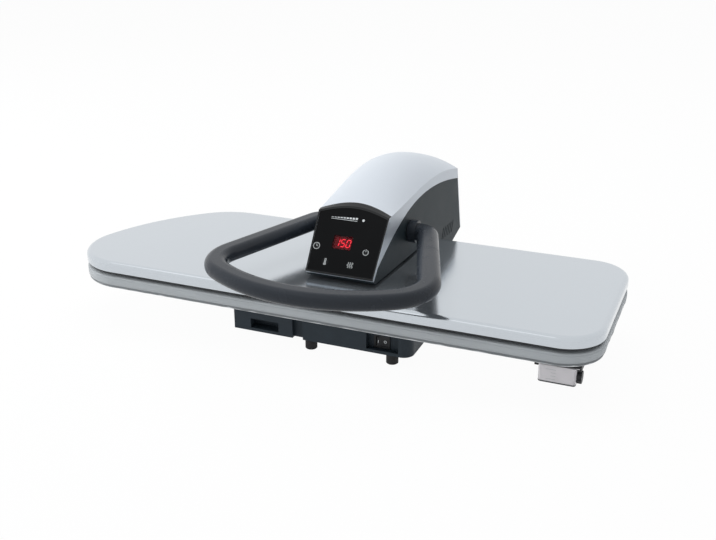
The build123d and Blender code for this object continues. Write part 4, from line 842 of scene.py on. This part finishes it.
class PRESS_OT_board_cloth(bpy.types.Operator):
    """Make the board's gathered cover cloth and the foam pad inside it"""

    bl_idname = "press.board_cloth"
    bl_label = "Board Cover and Pad"

    def execute(self, context):
        sizes = context.scene.press_sizes
        cloth_spacing, pad_spacing = 0.005, 0.008
        low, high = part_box("board_cover")
        middle = (high.z + low.z) / 2
        edge = [(inward, high.z - drop) for inward, drop in CLOTH_EDGE]
        hem = [(inward, low.z + rise) for inward, rise in CLOTH_HEM]
        bm = crowned_slab("board_cover", middle, edge, hem, cloth_spacing, open_below=True)
        ruffle(bm, sizes.gather_pitch, sizes.gather_depth, low.z, middle)
        cloth = close_form(bm, "board_cover_cloth", "base", "silver_fabric", crease=60)
        wall = cloth.modifiers.new("cloth_thickness", "SOLIDIFY")
        wall.thickness = sizes.cloth_thickness
        wall.offset = -1
        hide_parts("board_cover")
        low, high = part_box("board_pad")
        middle = (high.z + low.z) / 2
        top = [(inward, high.z - drop) for inward, drop in PAD_TOP]
        foot = [(inward, low.z + rise) for inward, rise in PAD_FOOT]
        bm = crowned_slab("board_pad", middle, top, foot, pad_spacing)
        pad = close_form(bm, "board_foam_pad", "base", "foam", crease=60)
        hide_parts("board_pad")
        return {"FINISHED"}


class PRESS_OT_blanket(bpy.types.Operator):
    """Make the mineral wool blanket between the heated plate and the head's cover"""

    bl_idname = "press.blanket"
    bl_label = "Insulation Blanket"

    def execute(self, context):
        flat_limit, rim_limit = math.radians(2), math.radians(60)
        bm = bmesh.new()
        bm.from_mesh(frame["nodes"]["insulation_blanket"].data)
        bmesh.ops.remove_doubles(bm, verts=bm.verts, dist=MERGE)
        bmesh.ops.dissolve_limit(bm, angle_limit=flat_limit, verts=bm.verts, edges=bm.edges)
        rims = [edge for edge in bm.edges if edge.calc_face_angle(0) > rim_limit]
        bmesh.ops.bevel(
            bm,
            geom=rims,
            offset=context.scene.press_sizes.blanket_edge,
            affect="EDGES",
            segments=3,
            profile=0.5,
            material=-1,
            clamp_overlap=True,
        )
        blanket = close_form(bm, "insulation_quilt", "head", "blanket_wool", crease=50)
        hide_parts("insulation_blanket")
        return {"FINISHED"}


class PRESS_OT_gap_shade_bead(bpy.types.Operator):
    """Run a soft black bead round the head, under its cover's lip: a dark piece that stands as painted shade in
    the gap between head and board.
    """

    bl_idname = "press.edge_seal"
    bl_label = "Gap Shade Bead"

    def execute(self, context):
        depth = context.scene.press_sizes.shade_bead_depth
        gap, cut_height, spacing = 0.0001, 0.003, 0.006
        outer, inner = 0.0010, 0.0044
        low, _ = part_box("head_cover")
        top = low.z - gap
        bm, face = outline_face("head_cover", low.z + cut_height, spacing)
        bmesh.ops.translate(bm, verts=bm.verts, vec=(0, 0, top - low.z - cut_height))
        bm.normal_update()
        step_rings(bm, face, (0, top), ((outer, top),))
        bmesh.ops.delete(bm, geom=[part for part in bm.faces if part is not face], context="FACES")
        bead = (
            (0.0012, top - depth * 0.7),
            (0.0020, top - depth),
            (0.0034, top - depth),
            (0.0042, top - depth * 0.7),
            (inner, top),
        )
        step_rings(bm, face, (outer, top), bead)
        bmesh.ops.delete(bm, geom=[face], context="FACES_ONLY")
        rims = [edge for edge in bm.edges if edge.is_boundary]
        bmesh.ops.bridge_loops(bm, edges=rims)
        # The black bead is painted shade: it thickens the dark line of the gap under the lip.
        close_form(bm, "gap_shade_bead", "head", "gasket_rubber", crease=50)
        return {"FINISHED"}


class PRESS_OT_key_symbols(bpy.types.Operator):
    """Print a plain symbol on each of the four keys"""

    bl_idname = "press.key_symbols"
    bl_label = "Key Symbols"

    def execute(self, context):
        sizes = context.scene.press_sizes
        for key, draw in KEY_SYMBOLS.items():
            bm = bmesh.new()
            draw(bm, sizes.symbol_size, sizes.symbol_stroke)
            raise_marks(bm, sizes.print_height, panel_spot(key))
            close_form(bm, key + "_symbol", key, "key_gloss", "grey_print")
        return {"FINISHED"}


class PRESS_OT_digits(bpy.types.Operator):
    """Light three seven-bar digits on the display"""

    bl_idname = "press.digits"
    bl_label = "Display Digits"

    def execute(self, context):
        sizes = context.scene.press_sizes
        tall = sizes.digit_height
        wide, stroke, lean = tall * 0.52, tall * 0.12, 0.12
        flat, upright = (wide - stroke, stroke), (stroke, tall / 2 - stroke)
        bars = (
            ((0, tall / 2), flat),
            ((-wide / 2, tall / 4), upright),
            ((wide / 2, tall / 4), upright),
            ((0, 0), flat),
            ((-wide / 2, -tall / 4), upright),
            ((wide / 2, -tall / 4), upright),
            ((0, -tall / 2), flat),
        )
        bm = bmesh.new()
        for number, digit in enumerate("150"):
            across = (number - 1) * wide * 1.5
            for lit, ((x, y), size) in zip(DIGIT_BARS[digit], bars):
                if lit == "1":
                    flat_bar(bm, (x + across, y), size, lean)
        raise_marks(bm, sizes.print_height, panel_spot("display_module"))
        close_form(bm, "display_digits", "arm", "display_red", "lit_digit")
        return {"FINISHED"}


class PRESS_OT_panel_marks(bpy.types.Operator):
    """Print a plain rising level scale and a dot across the top of the panel"""

    bl_idname = "press.panel_marks"
    bl_label = "Panel Scale"

    def execute(self, context):
        steps, pitch, width = 9, 0.0058, 0.0042
        lowest, rise = 0.0008, 0.0004
        left, foot = -0.0385, 0.0390
        bm = bmesh.new()
        for step in range(steps):
            tall = lowest + step * rise
            flat_bar(bm, (left + step * pitch, foot + tall / 2), (width, tall))
        reach = (steps - 1) * pitch
        flat_bar(bm, (left + reach / 2, foot - 0.0024), (reach + width, 0.0008))
        flat_disc(bm, (left + reach + 0.0133, foot + 0.0006), 0.0024)
        print_height = context.scene.press_sizes.print_height
        raise_marks(bm, print_height, panel_spot("control_panel"))
        close_form(bm, "panel_scale", "arm", "panel_gloss", "light_print")
        return {"FINISHED"}


class PRESS_OT_switch_marks(bpy.types.Operator):
    """Print the bar and ring of off and on beside each other on the mains rocker"""

    bl_idname = "press.switch_marks"
    bl_label = "Switch Marks"

    def execute(self, context):
        bar_size = (0.001, 0.005)
        ring_radius, ring_width = 0.0022, 0.0009
        ahead = 0.004
        low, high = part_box("power_rocker")
        middle = (low + high) / 2
        reach = (high.x - low.x) * 0.27
        for name, side in (("rocker_bar", -1), ("rocker_ring", 1)):
            bm = bmesh.new()
            if side < 0:
                flat_bar(bm, (0, 0), bar_size)
            else:
                flat_arc(bm, (0, 0), ring_radius, ring_width, 0, math.tau)
            near = (middle.x + side * reach, low.y - ahead, middle.z)
            print_height = context.scene.press_sizes.print_height
            raise_marks(bm, print_height, spot_on("power_rocker", near))
            close_form(bm, name, "rocker", "black_plastic", "light_print")
        return {"FINISHED"}


class PRESS_OT_tank_marks(bpy.types.Operator):
    """Mark the highest and lowest water levels on the tank's front"""

    bl_idname = "press.tank_marks"
    bl_label = "Tank Levels"

    def execute(self, context):
        right_end, stroke, long, short, ahead = 0.012, 0.0008, 0.016, 0.008, 0.01
        low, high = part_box("water_tank")
        tall = high.z - low.z
        bm = bmesh.new()
        for share, width in ((0.78, long), (0.6, short), (0.42, short), (0.24, long)):
            flat_bar(bm, (right_end - width / 2, tall * (share - 0.5)), (width, stroke))
        near = (low.x + (high.x - low.x) * 0.3, low.y - ahead, (low.z + high.z) / 2)
        print_height = context.scene.press_sizes.print_height
        raise_marks(bm, print_height, spot_on("water_tank", near))
        close_form(bm, "tank_levels", "tank", "clear_tank", "grey_print")
        return {"FINISHED"}


def screw_head(bm, radius, place):
    """A low domed head with a cross recess."""
    cells, arm_width, arm_reach = 7, 0.15, 0.6
    dome_height, rim_share, recess_depth = 0.55, 0.8, 0.32
    made = bmesh.ops.create_grid(bm, x_segments=cells, y_segments=cells, size=1.0)["verts"]
    cross = []
    for face in {face for vert in made for face in vert.link_faces}:
        middle = face.calc_center_median()
        along, across = sorted((abs(middle.x), abs(middle.y)))
        if along < arm_width and across < arm_reach:
            cross.append(face)
    for vert in made:
        x, y = vert.co.x, vert.co.y
        round_x = x * math.sqrt(1 - y * y / 2)
        round_y = y * math.sqrt(1 - x * x / 2)
        reach = min(math.hypot(round_x, round_y), 1.0)
        dome = dome_height * math.sqrt(max(1 - reach * reach * rim_share, 0))
        vert.co = Vector((round_x * radius, round_y * radius, dome * radius))
    sunk = bmesh.ops.extrude_face_region(bm, geom=cross)["geom"]
    floor = [part for part in sunk if isinstance(part, bmesh.types.BMVert)]
    bmesh.ops.translate(bm, verts=floor, vec=(0, 0, -recess_depth * radius))
    rim = [
        edge
        for edge in bm.edges
        if edge.is_boundary and all(vert in made for vert in edge.verts)
    ]
    skirt = bmesh.ops.extrude_edge_only(bm, edges=rim)["geom"]
    lower = [part for part in skirt if isinstance(part, bmesh.types.BMVert)]
    for vert in lower:
        vert.co.z = 0
    bmesh.ops.transform(bm, matrix=place, verts=[*made, *floor, *lower])


class PRESS_OT_screws(bpy.types.Operator):
    """Set the cross-recessed screws under the arm and under the base"""

    bl_idname = "press.screws"
    bl_label = "Cover Screws"

    def execute(self, context):
        radius = context.scene.press_sizes.screw_radius
        low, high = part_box("arm_under_cover")
        middle = (low.x + high.x) / 2
        under_arm = [
            (middle + side, high.y - from_rear, low.z)
            for side in (-0.045, 0.045)
            for from_rear in (0.047, 0.127)
        ]
        low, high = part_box("base_tray")
        inset = 0.015
        front, rear = low.y + inset, high.y - 0.132
        under_base = [
            (low.x + inset, front, 0.0),
            (high.x - inset, front, 0.0),
            (low.x + inset, rear, 0.0),
            (high.x - inset, rear, 0.0),
            (middle, low.y + 0.085, 0.0),
            (middle, high.y - 0.080, 0.0),
        ]
        groups = (
            ("under_cover_screws", "arm", "arm_under_cover", under_arm),
            ("tray_screws", "base", "base_tray", under_base),
        )
        for name, body, node, places in groups:
            bm = bmesh.new()
            for near in places:
                screw_head(bm, radius, spot_on(node, near))
            close_form(bm, name, body, "zinc_steel", crease=30)
        return {"FINISHED"}


class PRESS_OT_slot_shade_sheets(bpy.types.Operator):
    """Set a black sheet against the inner wall behind the air slots of each side cover: painted shade that makes
    the slots read as the shaded inside of the arm.
    """

    bl_idname = "press.dust_screens"
    bl_label = "Slot Shade Sheets"

    def execute(self, context):
        gap = 0.0002
        thickness = context.scene.press_sizes.shade_sheet_thickness
        frame_low, frame_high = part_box("arm_frame")
        cover_low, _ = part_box("arm_left_cover")
        _, board_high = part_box("board_cover")
        middle = (frame_low.x + frame_high.x) / 2
        front, rear = board_high.y + 0.0385, board_high.y + 0.1145
        bottom, top = cover_low.z + 0.018, cover_low.z + 0.054
        for name, side in (("left", -1), ("right", 1)):
            wall = frame["nodes"][f"arm_{name}_cover"]
            bm = bmesh.new()
            corners = []
            for y, z in ((front, bottom), (rear, bottom), (rear, top), (front, top)):
                found, point, _, _ = wall.ray_cast((middle, y, z), (side, 0, 0))
                if not found:
                    raise RuntimeError(f"no wall behind the air slots of the {name} cover")
                corners.append(bm.verts.new(point - Vector((side * gap, 0, 0))))
            face = bm.faces.new(corners)
            box = bmesh.ops.extrude_face_region(bm, geom=[face], use_keep_orig=True)["geom"]
            inner = [part for part in box if isinstance(part, bmesh.types.BMVert)]
            bmesh.ops.translate(bm, verts=inner, vec=(-side * thickness, 0, 0))
            # The black sheet is painted shade behind the slots.
            close_form(bm, f"arm_{name}_shade_sheet", "arm", "black_plastic")
        return {"FINISHED"}


def area_lamp(name, place, aim, size, power, mirrored):
    """Hangs a rectangular lamp: one that isn't mirrored leaves no bright patch in gloss."""
    lamp = bpy.data.lights.new(name, "AREA")
    lamp.shape = "RECTANGLE"
    lamp.size, lamp.size_y = size
    lamp.energy = power
    holder = bpy.data.objects.new(name, lamp)
    holder.location = place
    holder.rotation_euler = (Vector(aim) - Vector(place)).to_track_quat("-Z", "Y").to_euler()
    holder.visible_glossy = mirrored
    bpy.context.scene.collection.objects.link(holder)


def lay_floor(scene):
    """A round pale floor, shown as nearly plain white but shaded by the press."""
    bm = bmesh.new()
    bmesh.ops.create_circle(bm, cap_ends=True, segments=96, radius=FLOOR_RADIUS)
    mesh = bpy.data.meshes.new("studio_floor")
    bm.to_mesh(mesh)
    bm.free()
    floor = bpy.data.objects.new("studio_floor", mesh)
    scene.collection.objects.link(floor)
    pale = Finish("floor_white", (0.86, 0.86, 0.86), 0.9)
    pale.feed("Roughness", 0.85 + pale.grain(3, 2.0) * 0.1)
    lit = Signal(pale, pale.shader.outputs[0])
    shown = pale.add("ShaderNodeEmission", {}, {"Color": WHITE, "Strength": 1.0})
    share = pale.backdrop_rays() * FLOOR_WHITE_SHARE
    pale.mix_shaders(share, lit, shown, "Material Output")
    mesh.materials.append(pale.material)


def set_surroundings(scene):
    """A soft room that lights the press, and plain white wherever it is seen."""
    world = bpy.data.worlds.new("studio_world")
    scene.world = world
    world.use_nodes = True
    air = Nodes(world.node_tree)
    background = air.tree.nodes["Background"]
    air.put(background.inputs["Color"], ROOM_COLOUR)
    air.put(background.inputs["Strength"], ROOM_STRENGTH)
    room = Signal(air, background.outputs[0])
    white = air.add("ShaderNodeBackground", {}, {"Color": WHITE, "Strength": 1.0})
    air.mix_shaders(air.backdrop_rays(), room, white, "World Output")


def place_camera(scene):
    """The camera at the photo's viewing angle."""
    eye = bpy.data.cameras.new("photo_camera")
    eye.lens, eye.sensor_width = CAMERA_LENS, CAMERA_SENSOR
    eye.clip_start, eye.clip_end = 0.05, 50
    camera = bpy.data.objects.new("photo_camera", eye)
    azimuth, elevation = math.radians(CAMERA_AZIMUTH), math.radians(CAMERA_ELEVATION)
    back = Vector(
        (
            math.sin(azimuth) * math.cos(elevation),
            -math.cos(azimuth) * math.cos(elevation),
            math.sin(elevation),
        )
    )
    low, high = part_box("board_cover")
    camera.location = (CAMERA_ACROSS, (low.y + high.y) / 2 + CAMERA_DEPTH, CAMERA_HEIGHT)
    camera.rotation_mode = "QUATERNION"
    camera.rotation_quaternion = (-back).to_track_quat("-Z", "Y")
    scene.collection.objects.link(camera)
    scene.camera = camera


class PRESS_OT_stage(bpy.types.Operator):
    """Lay the pale floor and set the lamps, the white surroundings and the camera"""

    bl_idname = "press.stage"
    bl_label = "Studio"

    def execute(self, context):
        scene = context.scene
        scene.view_settings.view_transform = "Standard"
        lay_floor(scene)
        set_surroundings(scene)
        for lamp in LAMPS:
            area_lamp(*lamp)
        place_camera(scene)
        return {"FINISHED"}


class PRESS_PT_panel(bpy.types.Panel):
    """Sizes, colours and pieces of the steam press"""

    bl_idname = "PRESS_PT_panel"
    bl_label = "Steam Press"
    bl_space_type = "VIEW_3D"
    bl_region_type = "UI"
    bl_category = "Steam Press"

    def draw(self, context):
        for group in (context.scene.press_sizes, context.scene.press_colours):
            for prop in group.bl_rna.properties:
                if prop.identifier not in ("name", "rna_type"):
                    self.layout.prop(group, prop.identifier)
        for operator in OPERATORS:
            self.layout.operator(operator.bl_idname)


GROUPS = (PressSizes, PressColours)
OPERATORS = (
    PRESS_OT_finishes,
    PRESS_OT_board_cloth,
    PRESS_OT_blanket,
    PRESS_OT_gap_shade_bead,
    PRESS_OT_key_symbols,
    PRESS_OT_digits,
    PRESS_OT_panel_marks,
    PRESS_OT_switch_marks,
    PRESS_OT_tank_marks,
    PRESS_OT_screws,
    PRESS_OT_slot_shade_sheets,
    PRESS_OT_stage,
)


def register():
    for made in (*GROUPS, *OPERATORS, PRESS_PT_panel):
        bpy.utils.register_class(made)
    bpy.types.Scene.press_sizes = bpy.props.PointerProperty(type=PressSizes)
    bpy.types.Scene.press_colours = bpy.props.PointerProperty(type=PressColours)


def unregister():
    del bpy.types.Scene.press_colours
    del bpy.types.Scene.press_sizes
    for made in (PRESS_PT_panel, *reversed(OPERATORS), *reversed(GROUPS)):
        bpy.utils.unregister_class(made)


def main():
    register()
    for operator in OPERATORS:
        family, action = operator.bl_idname.split(".")
        getattr(getattr(bpy.ops, family), action)()


if __name__ == "__main__":
    main()
